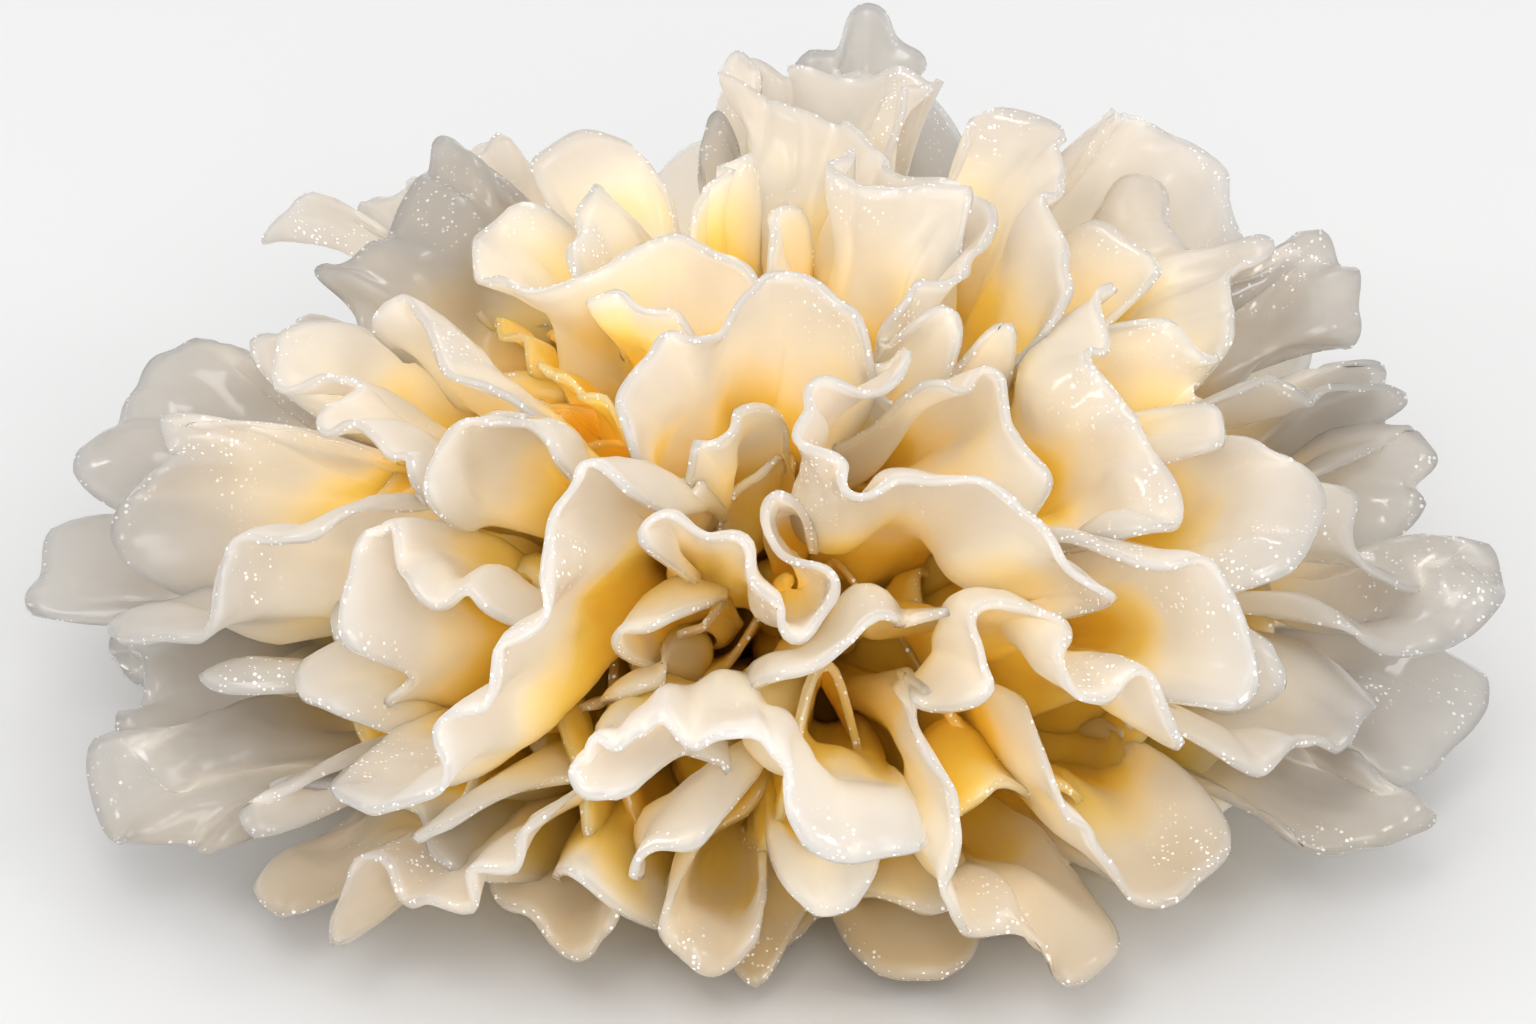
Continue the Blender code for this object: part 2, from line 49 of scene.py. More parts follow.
AMBER = ((0.0, (0.42, 0.24, 0.07)), (0.5, (0.66, 0.42, 0.14)), (1.0, (0.84, 0.62, 0.30)))
CUT_COLOUR = (0.62, 0.50, 0.33, 1.0)


def unit(vectors):
    """The same vectors, one long."""
    return vectors / np.linalg.norm(vectors, axis=-1, keepdims=True)


def foot_radius(ways):
    """How far the foot reaches from the root's centre in each direction."""
    around = np.arctan2(ways[..., 1], ways[..., 0])
    lumps = 0.35 * np.sin(3 * around + 0.6) + 0.25 * np.sin(5 * around + 2.0)
    return FOOT_RADIUS + lumps * (1.0 - np.abs(ways[..., 2]))


def ramp(tree, stops):
    """A colour ramp with the given places and colours."""
    node = tree.nodes.new("ShaderNodeValToRGB")
    elements = node.color_ramp.elements
    elements[0].position, elements[-1].position = stops[0][0], stops[-1][0]
    elements[0].color, elements[-1].color = (*stops[0][1], 1.0), (*stops[-1][1], 1.0)
    for place, colour in stops[1:-1]:
        elements.new(place).color = (*colour, 1.0)
    return node


def ranged(tree, source, start, end, low, high):
    """A number moved from one range to another along an easy curve."""
    node = tree.nodes.new("ShaderNodeMapRange")
    node.interpolation_type = "SMOOTHSTEP"
    node.inputs["From Min"].default_value = start
    node.inputs["From Max"].default_value = end
    node.inputs["To Min"].default_value = low
    node.inputs["To Max"].default_value = high
    tree.links.new(source, node.inputs["Value"])
    return node.outputs["Result"]


def noise(tree, place, scale, detail, distortion=0.0):
    """A cloudy pattern in the flesh."""
    node = tree.nodes.new("ShaderNodeTexNoise")
    node.inputs["Scale"].default_value = scale
    node.inputs["Detail"].default_value = detail
    node.inputs["Distortion"].default_value = distortion
    tree.links.new(place, node.inputs["Vector"])
    return node.outputs["Fac"]


def bumped(tree, height, strength):
    """A normal roughened by a height."""
    node = tree.nodes.new("ShaderNodeBump")
    node.inputs["Distance"].default_value = SKIN_HEIGHT
    tree.links.new(strength, node.inputs["Strength"])
    tree.links.new(height, node.inputs["Height"])
    return node.outputs["Normal"]


def blended(tree, amount, first, second):
    """One colour fading into another, which may be a plain colour."""
    node = tree.nodes.new("ShaderNodeMix")
    node.data_type = "RGBA"
    tree.links.new(amount, node.inputs[0])
    tree.links.new(first, node.inputs[6])
    if isinstance(second, tuple):
        node.inputs[7].default_value = second
    else:
        tree.links.new(second, node.inputs[7])
    return node.outputs[2]


def make_foot_flesh():
    """Clouded amber jelly, with a pale fibrous layer at the height of the cut."""
    material = bpy.data.materials.new("foot_flesh_amber")
    material.use_nodes = True
    tree = material.node_tree
    shader = tree.nodes["Principled BSDF"]
    place = tree.nodes.new("ShaderNodeTexCoord").outputs["Object"]
    parts = tree.nodes.new("ShaderNodeSeparateXYZ")
    tree.links.new(place, parts.inputs[0])
    amber = ramp(tree, AMBER)
    tree.links.new(noise(tree, place, 160.0, 4.0, 0.6), amber.inputs["Fac"])
    cut = ranged(tree, parts.outputs["Z"], *CUT_LAYER, 1.0, 0.0)
    tree.links.new(blended(tree, cut, amber.outputs["Color"], CUT_COLOUR), shader.inputs["Base Color"])
    tree.links.new(ranged(tree, cut, 0.0, 1.0, *CUT_ROUGHNESS), shader.inputs["Roughness"])
    fibres = noise(tree, place, 900.0, 2.0, 1.5)
    fibre_height = ranged(tree, cut, 0.0, 1.0, 0.15, 0.55)
    tree.links.new(bumped(tree, fibres, fibre_height), shader.inputs["Normal"])
    shader.inputs["Subsurface Weight"].default_value = 0.6
    shader.inputs["Subsurface Radius"].default_value = (1.0, 0.8, 0.5)
    shader.inputs["Subsurface Scale"].default_value = 2.0 * MM
    shader.subsurface_method = "BURLEY"
    shader.inputs["IOR"].default_value = 1.38
    return material


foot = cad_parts["foot"]
foot.data.materials.clear()
foot.data.materials.append(make_foot_flesh())


# The fronds on the left
# Thin sheets of wet jelly that grow out of the foot, the long pale ribbon that snakes to the low left among
# them. The photo shows each one's free rim, and the sheet runs in from it to the foot. A rim is given as how
# near the dome's surface its two ends lie, the lean of its sheet, and the pixels that it runs through.
DOME_RADIUS = 62.5
DOME_HALF_HEIGHT = 29.7
DOME_CENTRE_HEIGHT = 18.5
VIEW_ELEVATION = math.radians(30.0)
VIEW_DISTANCE = 540.0
VIEW_AIM = np.array([0.0, 0.0, DOME_CENTRE_HEIGHT])
VIEW_RIGHT = np.array([1.0, 0.0, 0.0])
VIEW_UP = np.array([0.0, math.sin(VIEW_ELEVATION), math.cos(VIEW_ELEVATION)])
VIEW_TOWARD = np.array([0.0, -math.cos(VIEW_ELEVATION), math.sin(VIEW_ELEVATION)])
PHOTO_MIDDLE = (768.0, 505.0)
PHOTO_HALF_SIZE = (740.0, 480.0)
FUNGUS_WIDTH = 125.0
MM_PER_PIXEL = FUNGUS_WIDTH / 1480.0
POINT_SPACING = 1.4
LOWEST_FROND = 0.8
LEFT_FRONDS = {
    "long_ribbon": (1.02, 0.92, (40, 0), (
        (650, 497), (632, 474), (602, 463), (575, 473), (560, 500), (548, 535), (544, 575), (538, 615),
        (524, 657), (505, 678), (475, 688), (448, 708), (438, 738), (441, 768), (446, 792), (428, 814),
        (405, 822), (385, 814), (366, 818), (355, 800), (338, 792), (318, 796), (302, 778))),
    "left_fan": (0.9, 0.93, (0, 0), (
        (400, 527), (414, 512), (419, 485), (424, 463), (441, 447), (450, 425), (465, 416), (485, 413),
        (505, 418), (528, 432), (550, 432), (565, 445), (571, 466))),
    "finger_wave": (0.9, 0.88, (0, 20), (
        (352, 668), (338, 665), (335, 638), (343, 605), (348, 580), (361, 548), (368, 522), (385, 516),
        (398, 525), (402, 550), (401, 580), (412, 600), (432, 606), (452, 598), (470, 588), (482, 592),
        (486, 612), (496, 634))),
    "serpent": (0.72, 0.88, (0, 0), (
        (300, 302), (283, 325), (279, 350), (273, 376), (284, 392), (303, 387), (323, 371), (346, 366),
        (362, 376), (360, 394), (338, 402), (319, 411), (316, 430), (340, 441), (380, 438), (402, 453),
        (413, 484), (396, 494))),
    "left_wing": (0.86, 0.55, (0, 0), (
        (372, 496), (345, 503), (320, 524), (298, 538), (262, 541), (235, 541), (220, 555), (214, 590),
        (212, 625), (203, 643), (185, 648), (163, 643), (140, 646), (118, 642), (102, 622), (92, 603))),
    "left_cup": (0.55, 0.4, (0, 0), (
        (240, 409), (220, 418), (198, 415), (178, 410), (162, 414), (157, 427), (168, 444), (176, 455),
        (150, 480), (130, 498), (115, 516), (113, 543), (118, 562), (106, 585))),
    "left_far_lobe": (-0.1, -0.1, (0, 0), (
        (97, 512), (72, 530), (48, 553), (35, 578), (29, 603), (36, 622), (55, 628), (78, 622))),
    "left_back_lobe": (-0.5, -0.2, (0, 0), (
        (90, 518), (79, 497), (81, 465), (92, 445), (108, 436), (117, 432), (125, 408), (138, 397),
        (150, 390), (148, 372), (158, 352), (178, 337), (195, 331), (203, 347), (220, 362), (243, 381),
        (262, 402))),
}


def dome_point(pixel, layer):
    """The point seen at a pixel of the photo, on the dome or so far in or behind as the layer says."""
    across = (pixel[0] - PHOTO_MIDDLE[0]) / PHOTO_HALF_SIZE[0]
    down = (pixel[1] - PHOTO_MIDDLE[1]) / PHOTO_HALF_SIZE[1]
    flat = math.cos(VIEW_ELEVATION) / DOME_RADIUS
    steep = math.sin(VIEW_ELEVATION) / DOME_HALF_HEIGHT
    half_depth = 1.0 / math.hypot(flat, steep)
    tilt = (math.sin(VIEW_ELEVATION) * math.cos(VIEW_ELEVATION)
            * (DOME_RADIUS ** -2 - DOME_HALF_HEIGHT ** -2) * half_depth ** 2)
    bulge = math.sqrt(max(0.12, 1.0 - across ** 2 - down ** 2))
    x = (pixel[0] - PHOTO_MIDDLE[0]) * MM_PER_PIXEL
    y = (PHOTO_MIDDLE[1] - pixel[1]) * MM_PER_PIXEL
    depth = tilt * y + layer * half_depth * bulge
    nearness = 1.0 - depth / VIEW_DISTANCE
    return VIEW_AIM + VIEW_RIGHT * x * nearness + VIEW_UP * y * nearness + VIEW_TOWARD * depth


def between(rows, places):
    """The rows read at fractional places, on a smooth curve through them."""
    padded = np.concatenate([2 * rows[:1] - rows[1:2], rows, 2 * rows[-1:] - rows[-2:-1]])
    index = np.clip(places.astype(int), 0, len(rows) - 2)
    t = (places - index).reshape((-1,) + (1,) * (rows.ndim - 1))
    before, start, end, after = (padded[index + shift] for shift in range(4))
    return 0.5 * (2 * start + (end - before) * t
                  + (2 * before - 5 * start + 4 * end - after) * t ** 2
                  + (3 * start - before - 3 * end + after) * t ** 3)


def smooth_line(points, spacing):
    """A smooth curve through the points, with a point at every step of about the spacing."""
    points = np.asarray(points)
    fine = between(points, np.arange(0.0, len(points) - 0.95, 0.1))
    lengths = np.concatenate([[0.0], np.cumsum(np.linalg.norm(np.diff(fine, axis=0), axis=1))])
    count = max(4, round(lengths[-1] / spacing) + 1)
    steps = np.linspace(0.0, lengths[-1], count)
    return np.column_stack([np.interp(steps, lengths, fine[:, axis]) for axis in range(3)])


def traced_rim(near_start, near_end, lean, pixels):
    """A rim's points and its sheet's lean, in millimetres."""
    layers = np.linspace(near_start, near_end, len(pixels))
    points = [dome_point(pixel, layer) for pixel, layer in zip(pixels, layers)]
    lean_vector = (VIEW_RIGHT * lean[0] - VIEW_UP * lean[1]) * MM_PER_PIXEL
    return smooth_line(points, POINT_SPACING), lean_vector


def traced(fronds):
    """Every frond's rim and lean by name."""
    return {name: traced_rim(*rim) for name, rim in fronds.items()}


rims = traced(LEFT_FRONDS)

# The crown
# The tall cups, curls and lobes that stand up at the top of the dome, clear and greyish at their tips. They
# are the same jelly sheets, and they overlap around the crest.
CROWN_FRONDS = {
    "panel": (0.62, 0.86, (0, 0), (
        (303, 299), (318, 319), (345, 320), (380, 311), (405, 301), (420, 312), (428, 340), (437, 362),
        (460, 380), (490, 386), (515, 400), (530, 420))),
    "ear_peak": (0.15, 0.0, (0, 0), (
        (288, 253), (297, 267), (317, 271), (340, 261), (365, 245), (388, 233), (393, 220), (410, 203),
        (422, 188), (424, 160), (433, 146), (447, 142), (458, 152), (465, 165), (482, 166), (497, 172),
        (508, 185), (522, 196))),
    "curl": (0.3, 0.25, (0, 0), (
        (552, 188), (530, 183), (526, 168), (540, 155), (560, 141), (585, 133), (610, 136), (635, 150),
        (655, 173), (667, 200), (677, 226))),
    "upper_cup": (0.45, 0.8, (0, 0), (
        (550, 193), (530, 198), (505, 207), (484, 226), (470, 248), (474, 264), (490, 280), (515, 289),
        (545, 290), (575, 283), (600, 268), (625, 251), (650, 240), (672, 235), (695, 236), (715, 247),
        (738, 262), (758, 278))),
    "crest_cup": (0.35, 0.88, (0, 0), (
        (778, 95), (786, 76), (770, 60), (748, 57), (735, 68), (747, 86), (770, 101), (800, 112),
        (830, 117), (850, 127), (872, 150), (895, 172), (918, 182), (948, 182), (975, 190), (992, 208),
        (988, 235), (970, 260), (945, 283), (915, 298), (885, 303))),
    "crest_left_lobe": (0.0, 0.0, (0, 0), (
        (703, 196), (698, 165), (703, 133), (718, 108), (737, 88))),
    "crest_top": (-0.3, -0.6, (0, 0), (
        (785, 92), (793, 72), (812, 56), (840, 42), (860, 29), (874, 23), (888, 32), (905, 48),
        (916, 68), (915, 86), (900, 99), (905, 104), (930, 105), (958, 113), (987, 128))),
    "crest_column": (0.45, 0.8, (0, 0), (
        (945, 180), (962, 152), (980, 128), (1003, 114), (1025, 111), (1045, 120), (1049, 142),
        (1063, 168), (1067, 195), (1062, 222), (1070, 260), (1068, 300), (1052, 325))),
}
rims.update(traced(CROWN_FRONDS))

# The right side
# Upright columns and fans near the top, and broad translucent tongues at the far right that curl at the rim
# and show their paler inner face.
RIGHT_FRONDS = {
    "right_wave": (-0.1, 0.5, (0, 0), (
        (1090, 215), (1105, 210), (1122, 199), (1145, 188), (1165, 195), (1174, 220), (1186, 247),
        (1198, 262), (1215, 258), (1232, 242), (1250, 233), (1268, 240), (1274, 256), (1262, 265),
        (1240, 268), (1227, 280), (1228, 297), (1238, 313), (1233, 331), (1243, 341), (1262, 337))),
    "right_peak": (0.15, -0.1, (0, 0), (
        (1273, 266), (1286, 274), (1299, 268), (1304, 251), (1309, 233), (1326, 232), (1345, 256),
        (1355, 288), (1364, 325), (1355, 347), (1325, 343), (1290, 342))),
    "right_column": (0.8, 0.92, (0, 0), (
        (1118, 270), (1122, 292), (1107, 312), (1098, 335), (1100, 368), (1122, 393), (1140, 415),
        (1148, 448), (1165, 465), (1180, 487), (1181, 508), (1168, 532), (1148, 544), (1128, 553))),
    "right_edge_lobe": (0.6, 0.0, (0, 0), (
        (1250, 385), (1265, 375), (1280, 382), (1300, 402), (1313, 396), (1335, 385), (1357, 387),
        (1378, 396), (1398, 401), (1415, 396), (1420, 410), (1408, 422))),
    "right_edge_low": (0.1, -0.2, (0, 0), (
        (1352, 470), (1378, 450), (1396, 425), (1412, 422), (1428, 442), (1435, 465), (1425, 480),
        (1408, 488), (1421, 497), (1418, 510), (1426, 530), (1442, 543))),
    "right_fan": (0.8, 0.88, (0, 0), (
        (1243, 416), (1238, 432), (1248, 443), (1272, 450), (1298, 460), (1316, 474), (1325, 495),
        (1322, 515), (1316, 538), (1303, 560), (1285, 578), (1262, 592))),
    "right_tongue": (0.62, 0.55, (0, 0), (
        (1334, 470), (1348, 473), (1357, 490), (1354, 510), (1348, 532), (1359, 556), (1378, 578),
        (1400, 593), (1425, 584), (1445, 562), (1460, 547), (1482, 543), (1502, 562), (1507, 585),
        (1497, 608), (1475, 635), (1445, 655), (1415, 661), (1380, 652), (1345, 633), (1318, 608))),
    "right_grey_lobe": (-0.5, -0.3, (0, 0), (
        (1465, 645), (1480, 662), (1488, 682), (1488, 703), (1478, 723), (1462, 738), (1440, 750),
        (1422, 774), (1400, 793), (1384, 787), (1366, 762), (1352, 745))),
    "right_skirt": (0.35, 0.7, (0, 0), (
        (1396, 668), (1386, 692), (1366, 715), (1350, 745), (1330, 755), (1310, 750), (1292, 749),
        (1275, 758), (1258, 768), (1243, 758), (1228, 742))),
}
rims.update(traced(RIGHT_FRONDS))

# The ribbons in the middle
# Narrow ribbons that wind across the middle over the deep amber pits. Their rims are the highest and the
# whitest of all, with the white peak at the centre of the dome.
MIDDLE_RIBBONS = {
    "diagonal_ribbon": (0.98, 0.98, (-20, 40), (
        (903, 325), (911, 350), (903, 374), (875, 385), (840, 387), (810, 385), (799, 402), (805, 435),
        (820, 465), (826, 487), (850, 498), (882, 495), (912, 481), (938, 470), (962, 482), (995, 489),
        (1022, 503), (1043, 530), (1060, 560), (1075, 592), (1105, 608), (1140, 608))),
    "right_shoulder": (0.95, 0.9, (0, 0), (
        (1085, 527), (1105, 551), (1130, 553), (1152, 564), (1180, 566), (1203, 557), (1222, 570),
        (1232, 600), (1238, 622), (1250, 645), (1262, 675), (1262, 692), (1240, 708), (1215, 717),
        (1195, 708))),
    "inner_curl": (0.82, 0.9, (0, 0), (
        (908, 396), (926, 386), (944, 378), (962, 388), (974, 374), (985, 363), (1000, 375),
        (1008, 398), (1002, 422), (1018, 442), (1042, 460), (1057, 482), (1064, 503))),
    "white_peak": (0.95, 0.92, (0, 0), (
        (627, 462), (632, 448), (624, 430), (616, 410), (626, 382), (648, 350), (668, 327), (682, 337),
        (698, 346), (716, 339), (735, 313), (755, 284), (778, 270), (800, 271), (822, 286), (850, 310),
        (872, 332), (890, 342))),
    "under_peak": (0.88, 0.8, (0, -30), (
        (650, 500), (668, 482), (688, 468), (708, 457), (730, 447), (748, 427), (765, 408), (785, 398))),
    "worm": (0.98, 0.88, (-40, 50), (
        (655, 556), (641, 549), (634, 533), (643, 518), (660, 515), (680, 526), (705, 533), (728, 540),
        (748, 558), (763, 583), (764, 607), (762, 621), (774, 633), (795, 640), (815, 634), (832, 618),
        (850, 600), (850, 584), (832, 573), (808, 567), (783, 557), (768, 535), (762, 510), (768, 490),
        (785, 487), (803, 500), (822, 513))),
}
rims.update(traced(MIDDLE_RIBBONS))

# The low fronds in front
# The loop that folds back on itself, the cups and the lobes that hang almost to the table. Less light gets
# to them, and painted shade makes their lowest parts tan.
LOW_FRONDS = {
    "front_loop": (0.95, 1.0, (0, 0), (
        (660, 767), (648, 785), (625, 797), (598, 800), (573, 793), (562, 772), (562, 745), (577, 726),
        (597, 735), (608, 751), (625, 759), (638, 745), (650, 722), (667, 720), (685, 737), (703, 743),
        (725, 732), (748, 724), (770, 733), (784, 755), (786, 785), (788, 820), (803, 847), (830, 864),
        (860, 864), (887, 852), (908, 848), (930, 858), (948, 862))),
    "big_band": (0.9, 0.95, (60, 40), (
        (750, 712), (760, 694), (780, 677), (805, 666), (832, 655), (852, 638), (850, 618), (866, 606),
        (888, 607), (907, 616), (911, 630))),
    "centre_right": (0.88, 0.8, (0, 0), (
        (962, 722), (978, 713), (995, 698), (992, 668), (976, 643), (970, 620), (985, 601),
        (1008, 605), (1030, 611), (1055, 603), (1074, 610), (1080, 632), (1062, 652), (1052, 668),
        (1062, 690), (1085, 707), (1103, 712), (1117, 697), (1132, 680), (1152, 685), (1168, 705),
        (1177, 735), (1190, 752), (1215, 757))),
    "low_right_ridge": (0.9, 0.4, (0, 0), (
        (925, 722), (914, 738), (925, 760), (945, 775), (957, 797), (957, 830), (955, 860), (940, 875),
        (932, 898), (942, 921), (965, 933), (995, 934), (1022, 930), (1040, 945), (1043, 970),
        (1060, 988), (1088, 980), (1110, 965), (1122, 940), (1130, 922))),
    "low_right_cup": (0.72, 0.4, (0, 0), (
        (1068, 745), (1070, 765), (1078, 795), (1095, 830), (1105, 858), (1112, 880), (1135, 902),
        (1160, 908), (1182, 898), (1200, 878), (1222, 862), (1236, 838), (1243, 803))),
    "right_low": (0.2, 0.1, (0, 0), (
        (1250, 800), (1265, 813), (1285, 838), (1308, 854), (1335, 855), (1360, 842), (1388, 847),
        (1412, 838), (1430, 820), (1431, 806), (1412, 802), (1385, 799), (1360, 787), (1345, 768))),
    "bottom_hook": (0.7, 0.8, (0, 0), (
        (622, 905), (620, 888), (627, 868), (637, 850), (652, 841), (670, 848), (688, 857), (700, 845),
        (718, 828), (738, 810))),
    "bottom_lobe": (0.55, 0.45, (0, 0), (
        (674, 880), (668, 912), (666, 940), (676, 963), (697, 976), (722, 974), (745, 960), (760, 935),
        (765, 905), (764, 885))),
    "low_left_lobe": (0.3, 0.4, (0, 0), (
        (462, 902), (485, 904), (507, 913), (530, 912), (545, 935), (565, 956), (585, 962), (603, 952),
        (610, 930), (608, 900), (598, 872), (583, 852))),
    "low_left_band": (0.75, 0.55, (0, 0), (
        (560, 806), (545, 818), (525, 833), (512, 857), (490, 872), (467, 895), (448, 913), (427, 917),
        (405, 900), (392, 876), (384, 856), (368, 850), (352, 862), (343, 885), (336, 908), (326, 930),
        (334, 948), (352, 954), (366, 936))),
    "left_low_lobe": (0.25, 0.2, (0, 0), (
        (205, 797), (178, 796), (155, 786), (135, 775), (118, 760), (103, 760), (95, 772), (98, 793),
        (107, 813), (125, 830), (150, 836), (172, 830), (188, 828), (195, 843), (200, 860), (222, 864),
        (243, 855), (256, 842))),
    "left_mid_lobe": (-0.1, 0.35, (0, 0), (
        (100, 636), (118, 650), (140, 660), (147, 677), (133, 698), (122, 720), (125, 738), (138, 756),
        (150, 776), (164, 770), (176, 752), (184, 732), (197, 708), (204, 688))),
}
rims.update(traced(LOW_FRONDS))

# The far side
# The photo hides the back of the fungus. It is grown from rims of the near side, each turned about the
# upright axis, so that it is as full and as ruffled as the front: name, rim that it repeats, and degrees.
BACK_FRONDS = (
    ("back_loop", "front_loop", 176.0),
    ("back_ridge", "low_right_ridge", 173.0),
    ("back_ribbon", "long_ribbon", 160.0),
    ("back_bowl", "low_right_cup", 212.0),
    ("back_wave", "right_shoulder", 188.0),
    ("back_diagonal", "diagonal_ribbon", 152.0),
    ("back_fan", "centre_right", 192.0),
    ("back_skirt", "right_skirt", 118.0),
    ("back_band", "low_left_band", 172.0),
    ("back_worm", "worm", 172.0),
    ("back_peak", "white_peak", 128.0),
    ("back_tongue", "right_tongue", 62.0),
    ("back_hem", "low_left_band", 250.0),
    ("back_grey_lobe", "right_grey_lobe", 148.0),
    ("side_ridge", "low_right_ridge", 88.0),
    ("side_cup", "low_right_cup", 243.0),
)


def turned(points, degrees):
    """The points, turned about the upright axis."""
    angle = math.radians(degrees)
    turn = np.array([[math.cos(angle), -math.sin(angle), 0.0],
                     [math.sin(angle), math.cos(angle), 0.0],
                     [0.0, 0.0, 1.0]])
    return points @ turn.T


for name, source, degrees in BACK_FRONDS:
    points, lean_vector = rims[source]
    rims[name] = (turned(points, degrees), turned(lean_vector, degrees))

# The small fronds along the rims
# Short sheets that show between the big ones: little lobes, hooks and folds, too many for solids of their
# own. They are the same jelly, and they grow from the foot between their bigger neighbours.
SMALL_RIMS = {
    "under_worm": (0.8, 0.78, (0, -20), (
        (722, 594), (708, 602), (688, 613), (660, 622), (632, 627), (608, 634), (596, 650), (605, 670))),
    "bottom_sheet": (0.75, 0.78, (0, 0), (
        (775, 888), (790, 904), (808, 918), (832, 921), (852, 908), (872, 888), (892, 869))),
    "small_white_lobe": (0.62, 0.6, (0, 0), (
        (296, 776), (286, 790), (280, 802), (262, 803), (241, 801), (238, 820), (248, 835), (268, 843),
        (288, 840), (297, 820))),
    "low_left_back": (0.1, 0.25, (0, 0), (
        (268, 848), (255, 862), (252, 882), (260, 903), (277, 918), (297, 922), (315, 915), (328, 906))),
    "right_small_cup": (0.78, 0.78, (0, 0), (
        (1200, 384), (1214, 394), (1225, 412), (1231, 440), (1224, 455), (1205, 457), (1182, 451))),
    "right_waves": (0.72, 0.62, (0, 0), (
        (1130, 300), (1141, 318), (1158, 325), (1178, 323), (1192, 338), (1206, 355), (1225, 356),
        (1246, 347))),
    "right_mantle": (0.35, 0.6, (0, 0), (
        (1072, 208), (1086, 222), (1110, 229), (1135, 245), (1158, 262), (1160, 275), (1145, 288))),
    "shoulder_lobe": (0.1, 0.1, (0, 0), (
        (262, 392), (252, 368), (251, 345), (259, 327), (276, 315))),
    "curl_fold": (0.45, 0.7, (0, 0), (
        (600, 165), (588, 190), (578, 218), (572, 240), (560, 262), (545, 280))),
    "right_hook": (0.95, 0.9, (0, 0), (
        (1108, 366), (1130, 357), (1152, 354), (1167, 362), (1165, 382), (1150, 393))),
    "right_ridge": (0.7, 0.7, (0, 0), (
        (1264, 604), (1272, 630), (1279, 670), (1287, 700), (1300, 722))),
    "inner_small": (0.72, 0.72, (0, 0), (
        (975, 345), (988, 328), (1003, 319), (1018, 327), (1030, 343), (1050, 352), (1075, 352),
        (1093, 345))),
    "top_middle": (0.85, 0.8, (0, 0), (
        (903, 318), (918, 307), (938, 304), (955, 313), (962, 332), (973, 350))),
    "hole_ribbon": (0.6, 0.65, (0, 0), (
        (703, 525), (725, 500), (745, 475), (765, 445), (780, 430))),
    "low_inner": (0.6, 0.62, (0, 0), (
        (985, 745), (1005, 756), (1028, 740), (1050, 740), (1062, 736), (1084, 752), (1087, 778))),
    "low_left_under": (0.8, 0.75, (0, 0), (
        (458, 800), (450, 818), (432, 836), (408, 842), (384, 846))),
    "left_inner": (0.55, 0.6, (0, 0), (
        (185, 652), (192, 668), (204, 684), (225, 692), (252, 697))),
    "left_inner_peak": (0.62, 0.7, (0, 0), (
        (276, 658), (284, 672), (297, 685), (314, 702), (330, 722), (344, 742))),
    "bottom_dark_a": (0.1, 0.2, (0, 0), (
        (716, 976), (728, 987), (748, 985), (768, 973), (786, 954), (806, 940))),
    "bottom_dark_b": (0.1, 0.1, (0, 0), (
        (840, 942), (852, 962), (872, 973), (900, 980), (925, 977), (948, 978), (958, 968), (985, 962),
        (1003, 950))),
    "right_back_edge": (-0.3, -0.3, (0, 0), (
        (1343, 358), (1360, 366), (1380, 376), (1397, 388))),
    "right_back_lobe": (-0.5, -0.5, (0, 0), (
        (1068, 198), (1082, 187), (1102, 181), (1118, 185), (1130, 194))),
    "deep_loop": (0.62, 0.66, (0, 0), (
        (652, 648), (668, 657), (675, 673), (664, 690), (643, 696), (618, 702), (590, 716))),
}
rims.update(traced(SMALL_RIMS))

# The room between the fronds
# Neighbouring sheets stay apart along their rims. Rims that come too close are eased apart, and on the way
# in to the foot each one loses its ruffles and keeps clear of the others.
CLEARANCE = 2.5 / DOME_RADIUS
FROND_ROOM = 0.8
SHORTEST_RIM = 9.0
EASING_ROUNDS = 30
STAGES = 8
STEPS_PER_STAGE = 5


def crowding(ways):
    """How far each rim point is pushed off by the points nearer to it than the clearance."""
    every = np.concatenate(ways)
    owner = np.concatenate([np.full(len(way), index) for index, way in enumerate(ways)])
    place = np.concatenate([np.arange(len(way)) for way in ways])
    same = owner[:, None] == owner[None, :]
    beside = same & (np.abs(place[:, None] - place[None, :]) < 4)
    wanted = np.where(same, 0.8 * CLEARANCE, CLEARANCE)
    wanted[beside] = 0.0
    distance = np.sqrt(np.clip(2.0 - 2.0 * every @ every.T, 1e-12, None))
    share = 0.35 * np.clip(wanted - distance, 0.0, None) / distance
    push = every * share.sum(axis=1, keepdims=True) - share @ every
    size = np.linalg.norm(push, axis=1, keepdims=True) + 1e-9
    push *= np.minimum(1.0, 0.35 * CLEARANCE / size)
    return np.split(push, np.cumsum([len(way) for way in ways])[:-1])


def eased(rows):
    """The rows, each averaged with its four neighbours."""
    padded = np.vstack([rows[:1], rows[:1], rows, rows[-1:], rows[-1:]])
    return sum(padded[shift:shift + len(rows)] for shift in range(5)) / 5.0


def straightened(way):
    """A rim with its bends a little flatter, its ends where they were."""
    flatter = way.copy()
    flatter[1:-1] = 0.25 * way[:-2] + 0.5 * way[1:-1] + 0.25 * way[2:]
    return unit(flatter)


def reaches_of(points):
    """How far each point is from the root's centre."""
    return np.linalg.norm(points - ROOT_CENTRE, axis=1)


def pushed_apart(rims):
    """The rims, as directions from the root, with those that nearly touch eased away from each other."""
    radii = [reaches_of(points) for points, _ in rims.values()]
    ways = [unit(points - ROOT_CENTRE) for points, _ in rims.values()]
    for _ in range(EASING_ROUNDS):
        ways = [unit(way + eased(push)) for way, push in zip(ways, crowding(ways))]
    for _ in range(2):
        ways = [straightened(way) for way in ways]
    return {name: (way, radius) for name, way, radius in zip(rims, ways, radii)}


